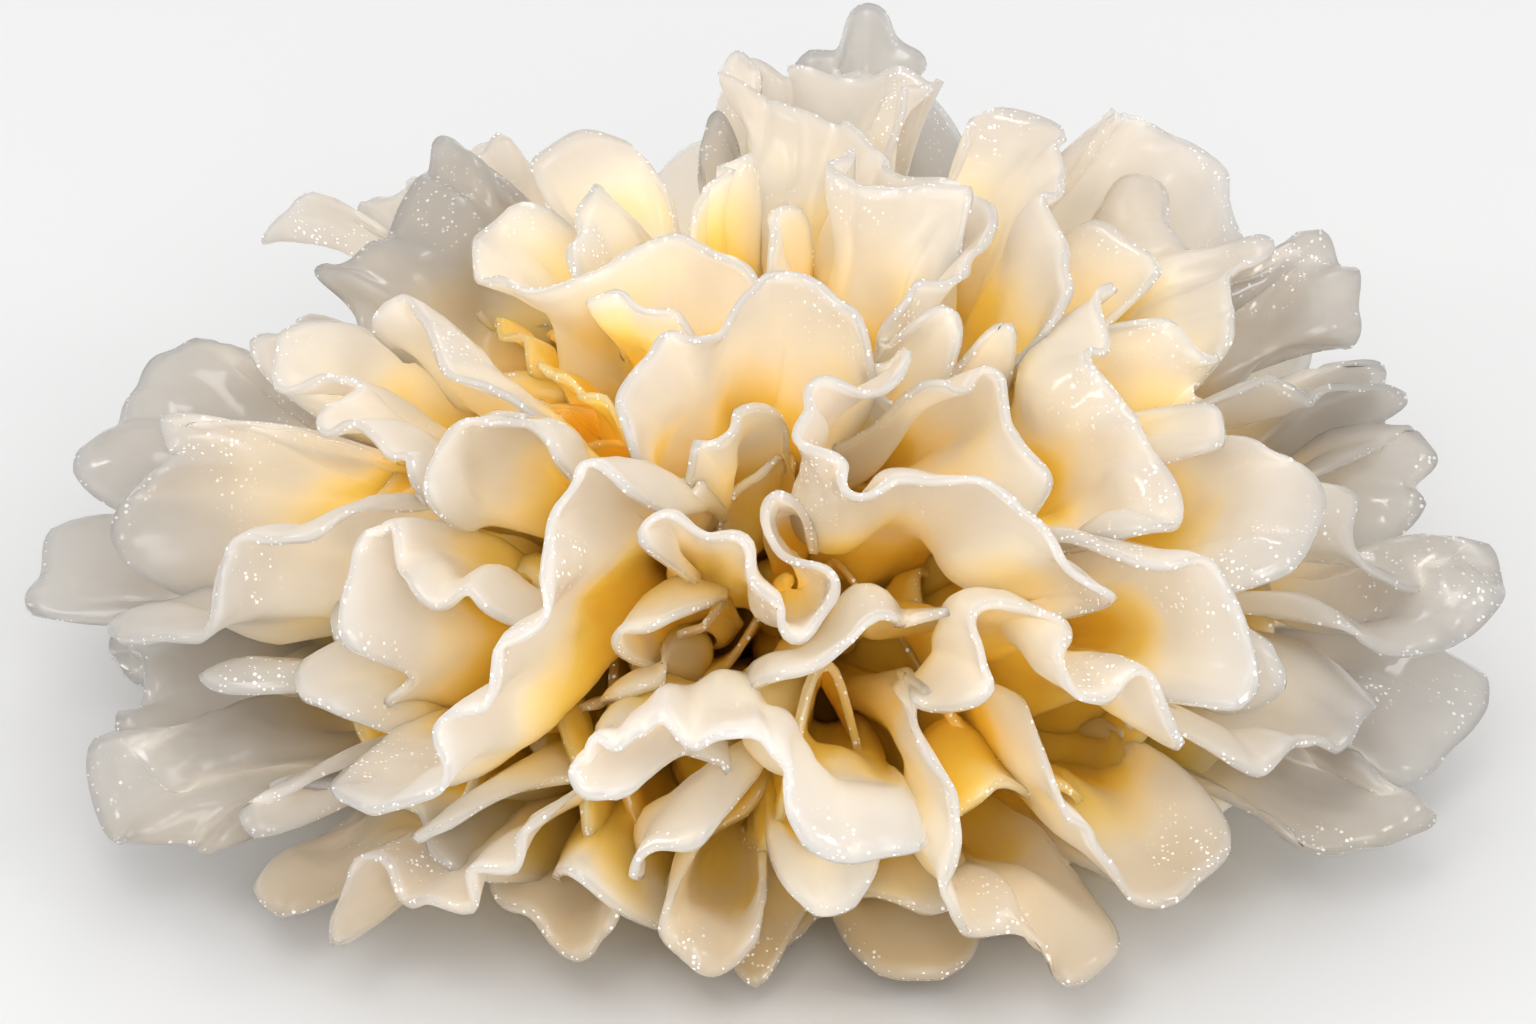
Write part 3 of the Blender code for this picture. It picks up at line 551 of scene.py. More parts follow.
def clear_runs(directions, room):
    """Each rim cut back to its longest stretch that crosses none of the rims before it."""
    placed = np.empty((0, 3))
    kept = {}
    for name, (ways, radii) in directions.items():
        free = np.full(len(ways), True)
        if len(placed):
            gaps = np.linalg.norm(ways[:, None, :] - placed[None, :, :], axis=2).min(axis=1)
            free = gaps > room * CLEARANCE
        breaks = np.flatnonzero(~np.concatenate([[False], free, [False]]))
        runs = [(after - before - 1, before) for before, after in zip(breaks[:-1], breaks[1:])]
        longest, first = max(runs)
        if longest * POINT_SPACING < SHORTEST_RIM:
            continue
        kept[name] = (ways[first:first + longest], radii[first:first + longest])
        placed = np.vstack([placed, kept[name][0]])
    return kept


def inward_stages(directions):
    """Each rim followed in to the foot: its ruffles flatten out, and it keeps clear of the others."""
    ways = [way for way, _ in directions.values()]
    stages = [ways]
    for _ in range(STAGES):
        for _ in range(STEPS_PER_STAGE):
            ways = [straightened(way) for way in ways]
            ways = [unit(way + eased(push)) for way, push in zip(ways, crowding(ways))]
        stages.append(ways)
    return {name: np.array([stage[index] for stage in stages]) for index, name in enumerate(directions)}


directions = clear_runs(pushed_apart(rims), FROND_ROOM)
stages = inward_stages(directions)

# The sheet of a frond
# Jelly flesh half a millimetre thick that droops a little, sways in slow waves over its face and flutters
# near its free rim. The clear outer lobes are more crumpled than the cream ones in the middle, so a wave's
# height in millimetres is given with what they add to it.
COLUMN_LENGTH = 0.62
ROW_LENGTH = 1.35
END_ROLL_LENGTH = 3.0
END_ROLL_DEPTH = 0.10
DROOP = 4.2
DROOP_LENGTH = 3.5
LEAN_SPREAD = 0.09
FOOT_OVERLAP = 0.6
NOTCHES = (0.20, 0.30)
NOTCH_LENGTHS = (5.0, 11.0)
RIPPLE = (1.9, 0.2)
RIPPLE_LENGTHS = (12.0, 24.0)
FLUTTER = (1.05, 0.10)
FLUTTER_LENGTHS = (3.8, 8.5)
PATCH_LENGTHS = (30.0, 50.0)
CRINKLE = (0.08, 0.07)
CRINKLE_LENGTHS = (1.8, 3.6)
OUTER_FRONDS = (
    "crest_left_lobe", "crest_top", "ear_peak", "left_back_lobe", "left_far_lobe", "left_low_lobe",
    "left_mid_lobe", "right_edge_lobe", "right_edge_low", "right_grey_lobe", "right_low", "right_peak",
)


def lean_at(ways, lean_points, lean_vectors):
    """The lean shared by every sheet that passes near a direction."""
    flat = ways.reshape(-1, 3)
    gaps = ((flat[:, None, :] - lean_points[None, :, :]) ** 2).sum(axis=2)
    weights = np.exp(-gaps / (2 * LEAN_SPREAD ** 2))
    lean = weights @ lean_vectors / (weights.sum(axis=1, keepdims=True) + 0.5)
    return lean.reshape(ways.shape)


def waves(u, v, generator, lengths, count):
    """A smooth random height over two lengths in millimetres, between about -1 and 1."""
    total = np.zeros(np.broadcast(u, v).shape)
    for _ in range(count):
        length = generator.uniform(*lengths)
        heading = generator.uniform(0.0, 2.0 * math.pi)
        phase = generator.uniform(0.0, 2.0 * math.pi)
        total += np.sin(2.0 * math.pi / length * (u * math.cos(heading) + v * math.sin(heading)) + phase)
    return total / math.sqrt(count)


def sheet_surface(stages, radii, lean, seed, outer):
    """The middle of a sheet as a grid of points, its columns along the rim and its rows going out."""
    generator = np.random.default_rng(seed)
    columns = max(16, round((len(radii) - 1) * POINT_SPACING / COLUMN_LENGTH))
    rows = max(12, round((radii.mean() - FOOT_RADIUS) / ROW_LENGTH))
    outward = np.linspace(0.0, 1.0, rows + 1)
    along = np.linspace(0.0, len(radii) - 1.0, columns + 1)
    ways = between(stages, (1.0 - outward) * (len(stages) - 1.0))
    ways = unit(between(ways.transpose(1, 0, 2), along))
    radius = between(radii, along)
    to_end = np.minimum(along, len(radii) - 1.0 - along) * POINT_SPACING
    roll = np.clip(1.0 - to_end / END_ROLL_LENGTH, 0.0, None)
    radius = (radius * (1.0 - END_ROLL_DEPTH * roll ** 2))[:, None]
    notches = waves(along * POINT_SPACING, 0.0 * along, generator, NOTCH_LENGTHS, 3)
    radius = radius + (notches * (NOTCHES[0] + NOTCHES[1] * outer))[:, None]
    root = foot_radius(ways) - FOOT_OVERLAP
    reach = root + (radius - root) * outward[None, :]
    below_rim = radius - reach
    upward = np.array([0.0, 0.0, 1.0]) - ways * ways[..., 2:3]
    uneven = np.sin(5.0 * ways[..., 0] + 1.0) * np.sin(6.0 * ways[..., 1] + 3.0 * ways[..., 2])
    droop = DROOP * (0.75 + 0.45 * uneven) * (1.0 - np.exp(-below_rim / DROOP_LENGTH)) * (reach / radius)
    shift = lean_at(ways, *lean) * (1.0 - reach / radius)[..., None] + upward * droop[..., None]
    bent = unit(ways + shift / DOME_RADIUS)
    points = ROOT_CENTRE + bent * reach[..., None]
    length = (along * POINT_SPACING)[:, None]
    sides = np.gradient(points, axis=0)
    outs = np.gradient(points, axis=1)
    normals = unit(np.cross(sides, outs))
    body = np.sin(math.pi * outward[None, :]) ** 0.8
    rim = outward[None, :] ** 3
    ripple = waves(length, reach, generator, RIPPLE_LENGTHS, 4) * (RIPPLE[0] + RIPPLE[1] * outer) * body
    patchy = 0.55 + 0.45 * waves(length, 0.0 * reach, generator, PATCH_LENGTHS, 1)
    flutter = waves(length, reach * 0.35, generator, FLUTTER_LENGTHS, 4) * (FLUTTER[0] + FLUTTER[1] * outer)
    flutter = flutter * rim * patchy
    crinkle = waves(length, reach, generator, CRINKLE_LENGTHS, 5) * (CRINKLE[0] + CRINKLE[1] * outer)
    crinkle = crinkle * (0.3 + outward[None, :])
    points = points + normals * (ripple + flutter + crinkle)[..., None]
    for _ in range(2):
        points[1:-1] = 0.25 * points[:-2] + 0.5 * points[1:-1] + 0.25 * points[2:]
    points[..., 2] = np.maximum(points[..., 2], LOWEST_FROND)
    return points


lean = (np.vstack([ways[::4] for ways, _ in directions.values()]),
        np.vstack([np.tile(rims[name][1], (len(ways[::4]), 1)) for name, (ways, _) in directions.items()]))
surfaces = {}
for number, (name, (ways, radii)) in enumerate(directions.items()):
    crumpled = 1.0 if name in OUTER_FRONDS else 0.0
    surfaces[name] = sheet_surface(stages[name], radii, lean, number, crumpled)

# The small fronds and webs inside
# Under the dome's surface the fungus is full of smaller folds, and wavy webs run across it and tie the
# fronds together. They are thin amber jelly, seen in the pits and in the gaps along the edge. A ring of webs
# is given as its height in degrees and how far out it lies, 1 being the dome's surface.
FILL_TRIES = 420
FILL_ROOM = 1.3
FILL_RIMS = (20.0, 40.0)
FILL_DEPTHS = (0.62, 0.90)
FILL_CRUMPLE = 0.5
WANDER_RADIUS = 48.0
WEB_RADIUS = 45.0
WEB_RINGS = ((3.0, 0.80), (12.0, 0.70), (22.0, 0.62), (33.0, 0.60), (46.0, 0.58), (62.0, 0.58))
WEB_PIECES = 6


def dome_reach(ways):
    """How far the dome's surface is from the root's centre in each direction."""
    scale = np.array([1.0 / DOME_RADIUS, 1.0 / DOME_RADIUS, 1.0 / DOME_HALF_HEIGHT])
    start = (ROOT_CENTRE - VIEW_AIM) * scale
    heading = ways * scale
    square = (heading ** 2).sum(axis=-1)
    cross = (heading * start).sum(axis=-1)
    return (-cross + np.sqrt(cross ** 2 + square * (1.0 - (start ** 2).sum()))) / square


def wandering_rim(generator):
    """A short wavy rim somewhere below the dome's surface, as directions and radii."""
    turn = generator.uniform(0.0, 2.0 * math.pi)
    rise = math.radians(generator.choice([generator.uniform(-3.0, 20.0), generator.uniform(0.0, 75.0)]))
    way = np.array([math.cos(turn) * math.cos(rise), math.sin(turn) * math.cos(rise), math.sin(rise)])
    heading = unit(np.cross(way, generator.normal(size=3)))
    swing = generator.uniform(0.12, 0.32)
    swing_length = generator.uniform(11.0, 18.0)
    phase = generator.uniform(0.0, 2.0 * math.pi)
    ways = []
    for step in range(round(generator.uniform(*FILL_RIMS) / POINT_SPACING)):
        ways.append(way)
        side = np.cross(way, heading)
        bend = swing * math.cos(2.0 * math.pi * step * POINT_SPACING / swing_length + phase)
        heading = unit(heading + side * bend)
        way = unit(way + heading * POINT_SPACING / WANDER_RADIUS)
        heading = unit(heading - way * heading.dot(way))
    ways = np.array(ways)
    ways = ways[ways[:, 2] > -0.08]
    depth = generator.uniform(*FILL_DEPTHS)
    return ways, dome_reach(ways) * depth if len(ways) else np.empty(0)


def web_rims(generator):
    """Wavy rims that run right round the fungus below the dome's surface, ring over ring."""
    webs = {}
    for ring, (height, depth) in enumerate(WEB_RINGS):
        reach = WEB_RADIUS * math.cos(math.radians(height))
        steps = round(2.0 * math.pi * reach / POINT_SPACING / WEB_PIECES)
        first = generator.uniform(0.0, 2.0 * math.pi)
        for piece in range(WEB_PIECES):
            along = np.arange(steps + 3) * POINT_SPACING
            around = first + 2.0 * math.pi * piece / WEB_PIECES + along / reach
            swing = (9.0 * waves(along, 0.0 * along, generator, (14.0, 24.0), 2)
                     + 3.0 * waves(along, 0.0 * along, generator, (7.0, 11.0), 2))
            rise = np.radians(np.maximum(height + swing, -3.0))
            flat = np.cos(rise)
            ways = np.column_stack([np.cos(around) * flat, np.sin(around) * flat, np.sin(rise)])
            uneven = 1.0 + 0.06 * waves(along, 0.0 * along, generator, (9.0, 18.0), 2)
            webs["web_%d_%d" % (ring, piece)] = (ways, dome_reach(ways) * depth * uneven)
    return webs


def between_fronds(directions):
    """Small wavy fronds wherever the traced rims leave room, and the webs that they all merge into."""
    generator = np.random.default_rng(7)
    tries = {}
    for number in range(FILL_TRIES):
        ways, radii = wandering_rim(generator)
        if len(ways) > 6:
            tries["inner_%d" % number] = (ways, radii)
    kept = clear_runs({**directions, **tries}, FILL_ROOM)
    small = {name: kept[name] for name in kept if name not in directions and len(kept[name][0]) > 11}
    return {**small, **web_rims(generator)}


fills = between_fronds(directions)
for number, (name, (ways, radii)) in enumerate(fills.items()):
    inward = [ways]
    for _ in range(3):
        for _ in range(3):
            ways = straightened(ways)
        inward.append(ways)
    surfaces[name] = sheet_surface(np.array(inward), radii, lean, 500 + number, FILL_CRUMPLE)

# The joins between neighbours
# A frond has no cut end: each end of its sheet carries on in a short dipping wall until it grows into the
# side of the frond beside it, which makes one ruffled piece of the whole.
LONGEST_JOIN = 18.0
JOIN_HEIGHT = 0.94
JOIN_PULLS = (0.9, 0.7)
JOIN_DIPS = (0.04, 0.14)
JOIN_WAVE = 0.6
JOIN_WAVE_LENGTHS = (5.0, 10.0)
TOUCH = 0.52
SEAM_COLUMNS = 7


def across(surface, place, reaches):
    """One column of a surface, read at the given reaches from the root's centre."""
    column = surface[place]
    own = np.maximum.accumulate(reaches_of(column))
    return np.column_stack([np.interp(reaches, own, column[:, axis]) for axis in range(3)])


def nearest_wall(surfaces, name, tip, heading):
    """The frond and the column of it that a free end runs into, if one is near enough."""
    best = (LONGEST_JOIN, None, 0)
    for other, surface in surfaces.items():
        if other == name:
            continue
        gaps = surface[2:-2, -1] - tip
        distance = np.linalg.norm(gaps, axis=1)
        ahead = (gaps @ heading) / distance
        lower = np.clip(np.linalg.norm(tip - ROOT_CENTRE) * 0.8 - reaches_of(surface[2:-2, -1]), 0.0, None)
        cost = distance * (1.5 - 0.5 * ahead) + 2.0 * lower
        place = int(cost.argmin())
        if cost[place] < best[0]:
            best = (cost[place], other, place + 2)
    return best[1], best[2]


def joining_wall(surfaces, name, at_start, generator):
    """The columns that carry a frond's end on until it grows into the side of its neighbour."""
    surface = surfaces[name][::-1] if at_start else surfaces[name]
    last = surface[-1]
    heading = unit(surface[-1] - surface[-4])
    other, place = nearest_wall(surfaces, name, last[-1], heading[-1])
    if other is None:
        return None
    own = reaches_of(last)
    rim = np.linalg.norm(surfaces[other][place, -1] - ROOT_CENTRE)
    root = own[0]
    outward = (own - root) / (own[-1] - root)
    target = across(surfaces[other], place, root + (min(JOIN_HEIGHT * rim, own[-1]) - root) * outward)
    length = np.linalg.norm(target[-1] - last[-1])
    steps = max(3, round(1.1 * length / COLUMN_LENGTH))
    t = np.linspace(0.0, 1.0, steps + 1)[1:, None, None]
    start_pull = heading * length * JOIN_PULLS[0]
    end_pull = (target - last) * JOIN_PULLS[1]
    wall = ((2 * t ** 3 - 3 * t ** 2 + 1) * last + (t ** 3 - 2 * t ** 2 + t) * start_pull
            + (3 * t ** 2 - 2 * t ** 3) * target + (t ** 3 - t ** 2) * end_pull)
    lowest_dip = (own[-1] - root) * generator.uniform(*JOIN_DIPS)
    dip = np.sin(math.pi * t) ** 2 * outward[None, :, None] * lowest_dip
    wall = wall - unit(wall - ROOT_CENTRE) * dip
    sides = np.gradient(wall, axis=0)
    normals = unit(np.cross(sides, unit(wall - ROOT_CENTRE)))
    wave = waves(t[:, 0] * length, (own * 0.3)[None, :], generator, JOIN_WAVE_LENGTHS, 3)
    wall = wall + normals * (wave * JOIN_WAVE * np.sin(math.pi * t[:, 0]) * outward[None, :])[..., None]
    wall[..., 2] = np.maximum(wall[..., 2], LOWEST_FROND)
    others = [grid for key, grid in surfaces.items() if key != name]
    met = np.concatenate([points.reshape(-1, 3) for grid in others
                          for points in (grid, 0.5 * (grid[:, 1:] + grid[:, :-1]))])
    near = met[np.linalg.norm(met - wall[:, -1].mean(axis=0), axis=1) < length + 6.0]
    gaps = np.linalg.norm(wall[:, -2, None, :] - near[None, :, :], axis=2).min(axis=1)
    touching = np.flatnonzero((gaps < TOUCH) & (np.arange(len(wall)) > 2))
    if len(touching):
        wall = wall[:touching[0] + 1]
    return wall


def eased_seam(surface, seam):
    """The surface with the columns around a seam brought into one smooth bend."""
    eased_surface = surface.copy()
    first, last = max(1, seam - SEAM_COLUMNS), min(len(surface) - 1, seam + SEAM_COLUMNS)
    for _ in range(8):
        middle = eased_surface[first - 1:last + 1]
        eased_surface[first:last] = 0.25 * middle[:-2] + 0.5 * middle[1:-1] + 0.25 * middle[2:]
    return eased_surface


def joined_sheet(surfaces, name, generator):
    """A frond's surface with a joining wall at each end, and which of its ends stay free."""
    surface = surfaces[name]
    if name.startswith("web"):
        return surface, (True, True)
    before = joining_wall(surfaces, name, True, generator)
    after = joining_wall(surfaces, name, False, generator)
    if before is not None:
        surface = eased_seam(np.concatenate([before[::-1], surface]), len(before))
    if after is not None:
        surface = eased_seam(np.concatenate([surface, after]), len(surface))
    return surface, (before is None, after is None)


generator = np.random.default_rng(11)
joined = {name: joined_sheet(surfaces, name, generator) for name in surfaces}

# The wet jelly
# Translucent jelly, pale at the rim with painted light along its bead, cream below it and amber deep in the
# pits, greyer and clearer at the edge of the dome, with painted shade low at the front and back. Its skin is
# wet, with fine wrinkles; painted glints, white dots that glow a little, lie on the rim and in wet patches.
# A colour is given with how deep under the surface it is reached, 1 being the deepest.
CREAM = ((0.0, (0.69, 0.64, 0.58)), (0.06, (0.64, 0.57, 0.49)), (0.24, (0.71, 0.64, 0.54)),
         (0.42, (0.84, 0.75, 0.59)), (0.60, (0.98, 0.79, 0.42)), (0.78, (0.99, 0.72, 0.17)),
         (1.0, (0.99, 0.65, 0.08)))
GREY = ((0.0, (0.65, 0.62, 0.58)), (0.12, (0.61, 0.57, 0.52)), (0.35, (0.67, 0.61, 0.52)),
        (0.65, (0.86, 0.72, 0.48)), (1.0, (0.97, 0.68, 0.26)))
# PAINTED_LOW_SHADE is painted shade: tan brown laid on the low front and back, where less light gets.
PAINTED_LOW_SHADE = (0.44, 0.30, 0.13, 1.0)
# PAINTED_RIM_LIGHT is painted light: a paler line along the rim's bead, where light scatters in the thick
# edge.
PAINTED_RIM_LIGHT = (0.88, 0.85, 0.81, 1.0)
# PAINTED_GLINT_WHITE is a painted highlight: white dots that stand for glints of light on the wet skin.
PAINTED_GLINT_WHITE = (0.99, 0.98, 0.97, 1.0)
DEEPEST = 20.0
GLOW_DEPTH = 4.2
# PAINTED_GLINT_GLOW makes the painted glint dots glow a little, though they are no lamp.
PAINTED_GLINT_GLOW = 0.25
PAINTED_SHADE_HEIGHTS = (0.002, 0.016)
PAINTED_SHADE_REACH = (0.026, 0.044)
CLOUDS = 110.0
MOTTLES = 40.0
WET_PATCHES = 80.0
WRINKLES = 420.0
PAINTED_GLINT_SCALE = 2600.0


def worked(tree, operation, first, second, third=0.0):
    """Two numbers put together; the second may be a plain number, and a third may be added."""
    node = tree.nodes.new("ShaderNodeMath")
    node.operation = operation
    node.inputs[2].default_value = third
    tree.links.new(first, node.inputs[0])
    if isinstance(second, float):
        node.inputs[1].default_value = second
    else:
        tree.links.new(second, node.inputs[1])
    return node.outputs["Value"]


def stored(tree, name):
    """A number that every vertex of a sheet carries."""
    node = tree.nodes.new("ShaderNodeAttribute")
    node.attribute_name = name
    return node.outputs["Fac"]


def make_flesh(name):
    """Wet jelly by depth, painted shade low down, painted rim light, wet wrinkles and painted glints."""
    material = bpy.data.materials.new(name)
    material.use_nodes = True
    tree = material.node_tree
    shader = tree.nodes["Principled BSDF"]
    place = tree.nodes.new("ShaderNodeTexCoord").outputs["Object"]
    depth, edge_gap, greyness = (stored(tree, name) for name in ("depth", "edge_gap", "greyness"))
    cloud = ranged(tree, noise(tree, place, CLOUDS, 1.0), 0.30, 0.70, 0.72, 1.28)
    clouded = worked(tree, "MULTIPLY", depth, cloud)
    tone = worked(tree, "DIVIDE", clouded, DEEPEST)
    cream, grey = ramp(tree, CREAM), ramp(tree, GREY)
    tree.links.new(tone, cream.inputs["Fac"])
    tree.links.new(tone, grey.inputs["Fac"])
    mottled = worked(tree, "MULTIPLY", greyness,
                     ranged(tree, noise(tree, place, MOTTLES, 1.0), 0.3, 0.7, 0.75, 1.1))
    greyed = blended(tree, ranged(tree, mottled, 0.0, 1.0, 0.0, 1.0),
                     cream.outputs["Color"], grey.outputs["Color"])
    parts = tree.nodes.new("ShaderNodeSeparateXYZ")
    tree.links.new(place, parts.inputs[0])
    # Painted shade: low down, towards the front and the back, the colour turns tan brown.
    low = ranged(tree, parts.outputs["Z"], *PAINTED_SHADE_HEIGHTS, 0.85, 0.0)
    off_middle = worked(tree, "ABSOLUTE", parts.outputs["Y"], 0.0)
    painted_shade_front_back = ranged(tree, off_middle, *PAINTED_SHADE_REACH, 0.0, 1.0)
    with_painted_shade = blended(tree, worked(tree, "MULTIPLY", low, painted_shade_front_back), greyed, PAINTED_LOW_SHADE)
    # Painted light: the colour is whitened within about a millimetre of the free edge.
    painted_rim_light_mask = ranged(tree, edge_gap, 0.2, 1.2, 0.12, 0.0)
    with_painted_rim_light = blended(tree, painted_rim_light_mask, with_painted_shade, PAINTED_RIM_LIGHT)
    patches = ranged(tree, noise(tree, place, WET_PATCHES, 1.0), 0.54, 0.62, 0.0, 1.0)
    shallow = ranged(tree, tone, 0.10, 0.50, 1.0, 0.0)
    at_rim = ranged(tree, edge_gap, 0.20, 0.50, 1.0, 0.0)
    glassy = ranged(tree, mottled, 0.4, 1.0, 0.0, 0.6)
    wet_and_painted_glint_spots = worked(tree, "MAXIMUM", worked(tree, "MULTIPLY", patches, shallow), at_rim)
    wet = worked(tree, "MAXIMUM", wet_and_painted_glint_spots, glassy)
    # Painted glints: random small dots in the wet patches and along the rim are coloured white.
    painted_glint_cells = tree.nodes.new("ShaderNodeTexVoronoi")
    painted_glint_cells.inputs["Scale"].default_value = PAINTED_GLINT_SCALE
    tree.links.new(place, painted_glint_cells.inputs["Vector"])
    chance = tree.nodes.new("ShaderNodeSeparateColor")
    tree.links.new(painted_glint_cells.outputs["Color"], chance.inputs[0])
    size = ranged(tree, chance.outputs["Red"], 0.55, 1.0, 0.0, 0.42)
    dot = worked(tree, "LESS_THAN", painted_glint_cells.outputs["Distance"], size)
    painted_glint = worked(tree, "MULTIPLY", dot, wet_and_painted_glint_spots)
    with_painted_glints = blended(tree, painted_glint, with_painted_rim_light, PAINTED_GLINT_WHITE)
    # The painted glints also glow, as a painted highlight.
    tree.links.new(with_painted_glints, shader.inputs["Base Color"])
    tree.links.new(with_painted_glints, shader.inputs["Emission Color"])
    tree.links.new(worked(tree, "MULTIPLY", painted_glint, PAINTED_GLINT_GLOW), shader.inputs["Emission Strength"])
    wrinkle = noise(tree, place, WRINKLES, 1.0)
    skin = bumped(tree, wrinkle, ranged(tree, wet, 0.0, 1.0, 0.14, 0.60))
    tree.links.new(skin, shader.inputs["Normal"])
    tree.links.new(skin, shader.inputs["Coat Normal"])
    tree.links.new(ranged(tree, mottled, 0.3, 1.0, 0.0, 0.55), shader.inputs["Transmission Weight"])
    shader.inputs["Subsurface Weight"].default_value = 1.0
    shader.subsurface_method = "BURLEY"
    shader.inputs["Roughness"].default_value = 0.36
    shader.inputs["IOR"].default_value = 1.38
    shader.inputs["Subsurface Radius"].default_value = (1.0, 0.93, 0.84)
    shader.inputs["Subsurface Scale"].default_value = GLOW_DEPTH * MM
    tree.links.new(worked(tree, "MULTIPLY_ADD", wet, 0.70, 0.25), shader.inputs["Coat Weight"])
    shader.inputs["Coat Roughness"].default_value = 0.05
    shader.inputs["Coat IOR"].default_value = 1.75
    # The glow of the painted glints is not sampled as a lamp.
    material.cycles.emission_sampling = "NONE"
    return material


flesh = make_flesh("jelly_flesh")

# The finished fronds
# Each sheet is given its thickness and the rounded bead along its rim, and takes the place of its solid.
# The small ones have no solid, and the innermost are joined to four pieces by the side that they are on.
# The deepest amber lies in the pits, a little in front of the middle.
RIM_THICKNESS = 0.66
FACE_THICKNESS = 0.44
BEAD_WIDTH = 0.75
INNER_SECTORS = 4
PITS_MIDDLE = (4.0, -9.0)
PITS_RADIUS = 24.0
GREY_FROM = 36.0
DEPTH_SQUEEZE = 0.76
ROOT_TAPER = 40.0
FAR_FROM_END = 99.0


def add_numbers(piece, name, values):
    """A number at every vertex that the material reads by name."""
    attribute = piece.data.attributes.new(name, "FLOAT", "POINT")
    attribute.data.foreach_set("value", values)


def make_sheet(name, surface, free_ends, outer, buried, material):
    """A frond modelled as a grid that is bent to its surface, given its thickness and its beaded rim."""
    columns, rows = surface.shape[0] - 1, surface.shape[1] - 1
    bpy.ops.object.select_all(action="DESELECT")
    bpy.ops.mesh.primitive_grid_add(x_subdivisions=columns, y_subdivisions=rows, size=2.0)
    piece = bpy.context.object
    piece.name = name
    piece.data.name = name
    flat = np.empty(len(piece.data.vertices) * 3)
    piece.data.vertices.foreach_get("co", flat)
    flat = flat.reshape(-1, 3)
    column = np.rint((flat[:, 0] + 1.0) / 2.0 * columns).astype(int)
    row = np.rint((flat[:, 1] + 1.0) / 2.0 * rows).astype(int)
    places = surface[column, row]
    piece.data.vertices.foreach_set("co", (places * MM).ravel())
    reach = reaches_of(places)
    rim_reach = reaches_of(surface[:, -1])
    under_rim = np.clip(rim_reach[column] - reach, 0.0, None)
    to_start = column * COLUMN_LENGTH + (0.0 if free_ends[0] else FAR_FROM_END)
    to_finish = (columns - column) * COLUMN_LENGTH + (0.0 if free_ends[1] else FAR_FROM_END)
    edge = np.minimum(under_rim, np.minimum(to_start, to_finish) + 0.12 * under_rim)
    under_dome = np.clip(dome_reach(unit(places - ROOT_CENTRE)) - reach, 0.0, None)
    apart = np.hypot(places[:, 0], DEPTH_SQUEEZE * places[:, 1])
    from_pits = np.hypot(places[:, 0] - PITS_MIDDLE[0], DEPTH_SQUEEZE * (places[:, 1] - PITS_MIDDLE[1]))
    amber = 1.0 - 0.65 * np.clip((from_pits - PITS_RADIUS) / 26.0, 0.0, 1.0)
    add_numbers(piece, "depth", (0.35 * under_rim + (0.65 + 0.30 * buried) * under_dome) * amber)
    add_numbers(piece, "edge_gap", edge)
    far_out = np.clip((apart - GREY_FROM) / 22.0, 0.0, 1.0)
    near_rim = np.clip(1.0 - (under_rim - 10.0) / 16.0, 0.0, 1.0) * (0.9 if outer else 0.0)
    add_numbers(piece, "greyness", np.maximum(far_out, near_rim))
    bead = np.exp(-(edge / BEAD_WIDTH) ** 2)
    weight = (FACE_THICKNESS + (RIM_THICKNESS - FACE_THICKNESS) * bead) / RIM_THICKNESS
    weight *= np.clip(reach / ROOT_TAPER, 0.4, 1.0)
    thick = piece.vertex_groups.new(name="thickness")
    for index, value in enumerate(weight):
        thick.add([index], float(value), "REPLACE")
    body = piece.modifiers.new("body", "SOLIDIFY")
    body.thickness = RIM_THICKNESS * MM
    body.offset = 0.0
    body.vertex_group = thick.name
    bpy.ops.object.modifier_apply(modifier=body.name)
    piece.vertex_groups.clear()
    bpy.ops.object.shade_smooth()
    piece.data.materials.append(material)
    return piece


inner = []
for name, (surface, free_ends) in joined.items():
    outer = name in OUTER_FRONDS
    piece = make_sheet(name + "_sheet", surface, free_ends, outer, float(name in fills), flesh)
    if name in fills:
        inner.append(piece)
        continue
    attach(piece, "root")
    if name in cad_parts:
        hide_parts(name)
inner_groups = {}
for piece in inner:
    x, y, _ = np.mean([tuple(corner) for corner in piece.bound_box], axis=0)
    sector = int((math.atan2(y, x) / (2.0 * math.pi) + 0.5) * INNER_SECTORS) % INNER_SECTORS
    inner_groups.setdefault(sector, []).append(piece)
for number, pieces in sorted(inner_groups.items()):
    bpy.ops.object.select_all(action="DESELECT")
    for piece in pieces:
        piece.select_set(True)
    bpy.context.view_layer.objects.active = pieces[0]
    bpy.ops.object.join()
    pieces[0].name = "inner_fronds_%d" % (number + 1)
    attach(pieces[0], "root")

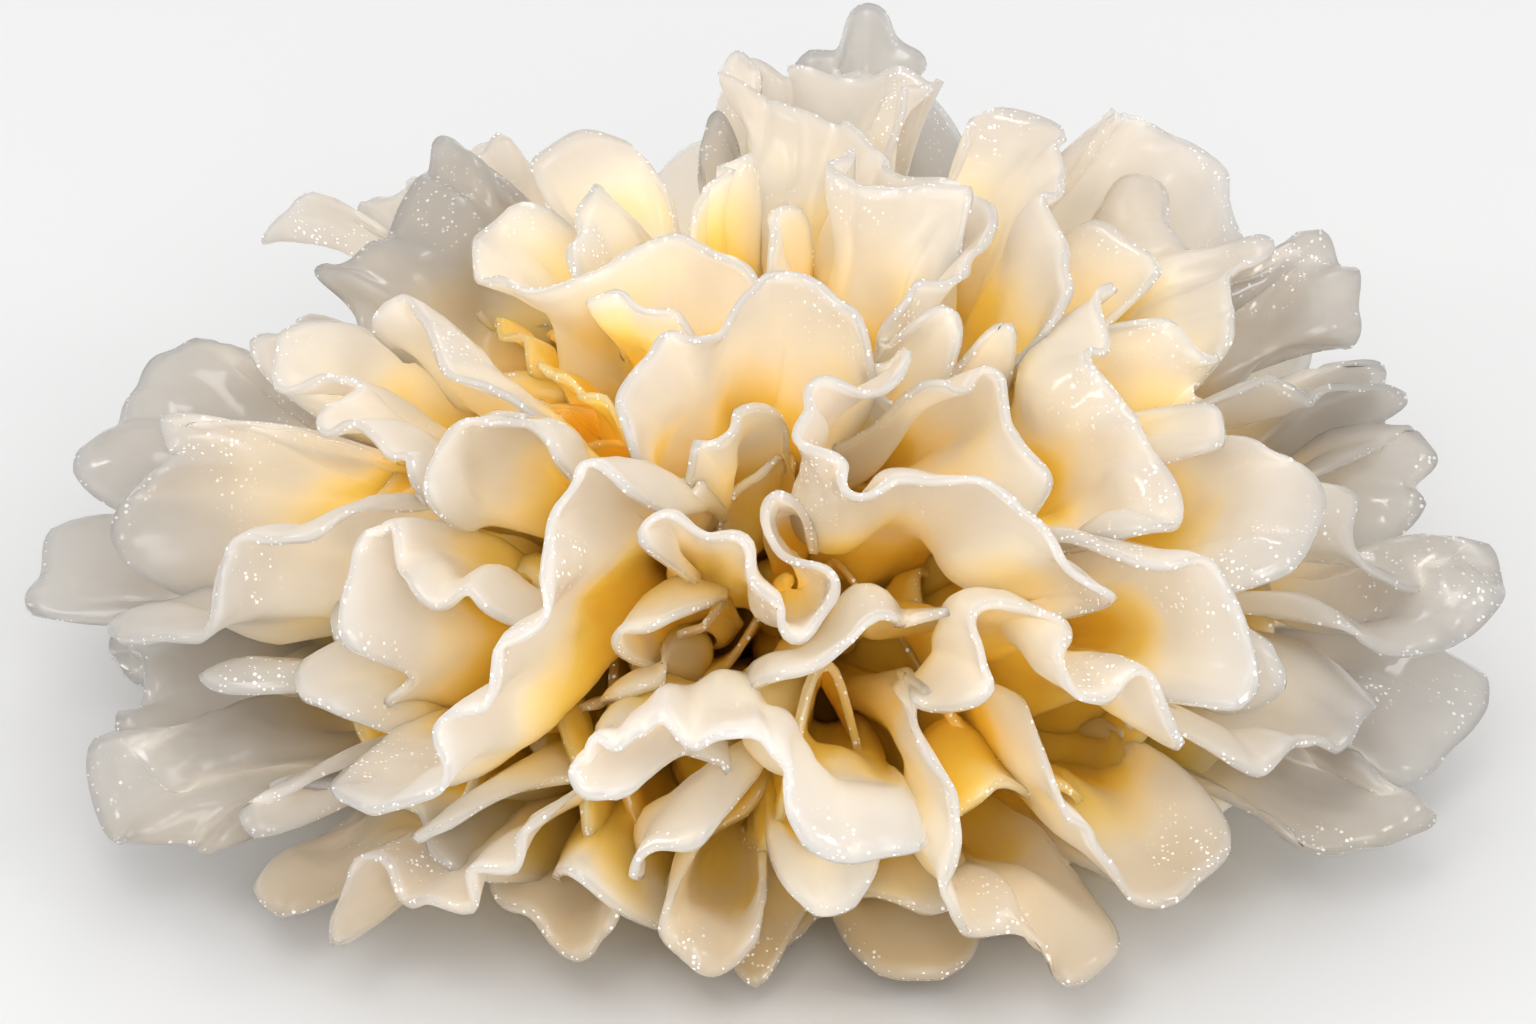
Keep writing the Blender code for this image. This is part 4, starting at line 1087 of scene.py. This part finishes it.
# The table, the light and the view
# A pale matt table, even white light from all round and soft boxes above, each given as its place, its size
# and its power. A long lens looks down at thirty degrees, with the dome's middle just above the picture's.
LENS = 150.0
SENSOR = 36.0
PICTURE_SIZE = (1536.0, 1024.0)
FLOOR_SIZE = 6.0
FLOOR_COLOUR = (0.95, 0.95, 0.95, 1.0)
ROOM_LIGHT = 0.73
SOFTBOXES = (
    ("front_box", (-0.08, -0.35, 0.53), 0.26, 0.48),
    ("low_front_box", (0.08, -0.54, 0.33), 0.30, 0.53),
    ("right_box", (0.42, -0.24, 0.36), 0.14, 0.30),
    ("left_box", (-0.46, -0.08, 0.26), 0.12, 0.22),
    ("back_box", (0.06, 0.42, 0.40), 0.14, 0.15),
)


def add_softbox(name, place, size, power):
    """A square white lamp that faces the fungus."""
    bpy.ops.object.light_add(type="AREA", location=place)
    lamp = bpy.context.object
    lamp.name = name
    lamp.data.size = size
    lamp.data.energy = power
    aim = Vector((0.0, 0.0, 0.02)) - lamp.location
    lamp.rotation_euler = aim.to_track_quat("-Z", "Y").to_euler()


bpy.context.scene.view_settings.view_transform = "Standard"
bpy.ops.object.select_all(action="DESELECT")
bpy.ops.object.camera_add(location=Vector(VIEW_AIM + VIEW_TOWARD * VIEW_DISTANCE) * MM,
                          rotation=(math.pi / 2 - VIEW_ELEVATION, 0.0, 0.0))
camera = bpy.context.object
camera.name = "view"
camera.data.lens = LENS
camera.data.sensor_width = SENSOR
camera.data.shift_x = (PICTURE_SIZE[0] / 2 - PHOTO_MIDDLE[0]) / PICTURE_SIZE[0]
camera.data.shift_y = (PHOTO_MIDDLE[1] - PICTURE_SIZE[1] / 2) / PICTURE_SIZE[0]
camera.data.clip_start = 0.01
bpy.context.scene.camera = camera
bpy.ops.mesh.primitive_plane_add(size=FLOOR_SIZE)
floor = bpy.context.object
floor.name = "floor"
matt = bpy.data.materials.new("pale_floor")
matt.use_nodes = True
matt.node_tree.nodes["Principled BSDF"].inputs["Base Color"].default_value = FLOOR_COLOUR
matt.node_tree.nodes["Principled BSDF"].inputs["Roughness"].default_value = 0.9
floor.data.materials.append(matt)
room = bpy.data.worlds.new("white_room")
room.use_nodes = True
room.node_tree.nodes["Background"].inputs["Color"].default_value = (1.0, 1.0, 1.0, 1.0)
room.node_tree.nodes["Background"].inputs["Strength"].default_value = ROOM_LIGHT
bpy.context.scene.world = room
for softbox in SOFTBOXES:
    add_softbox(*softbox)
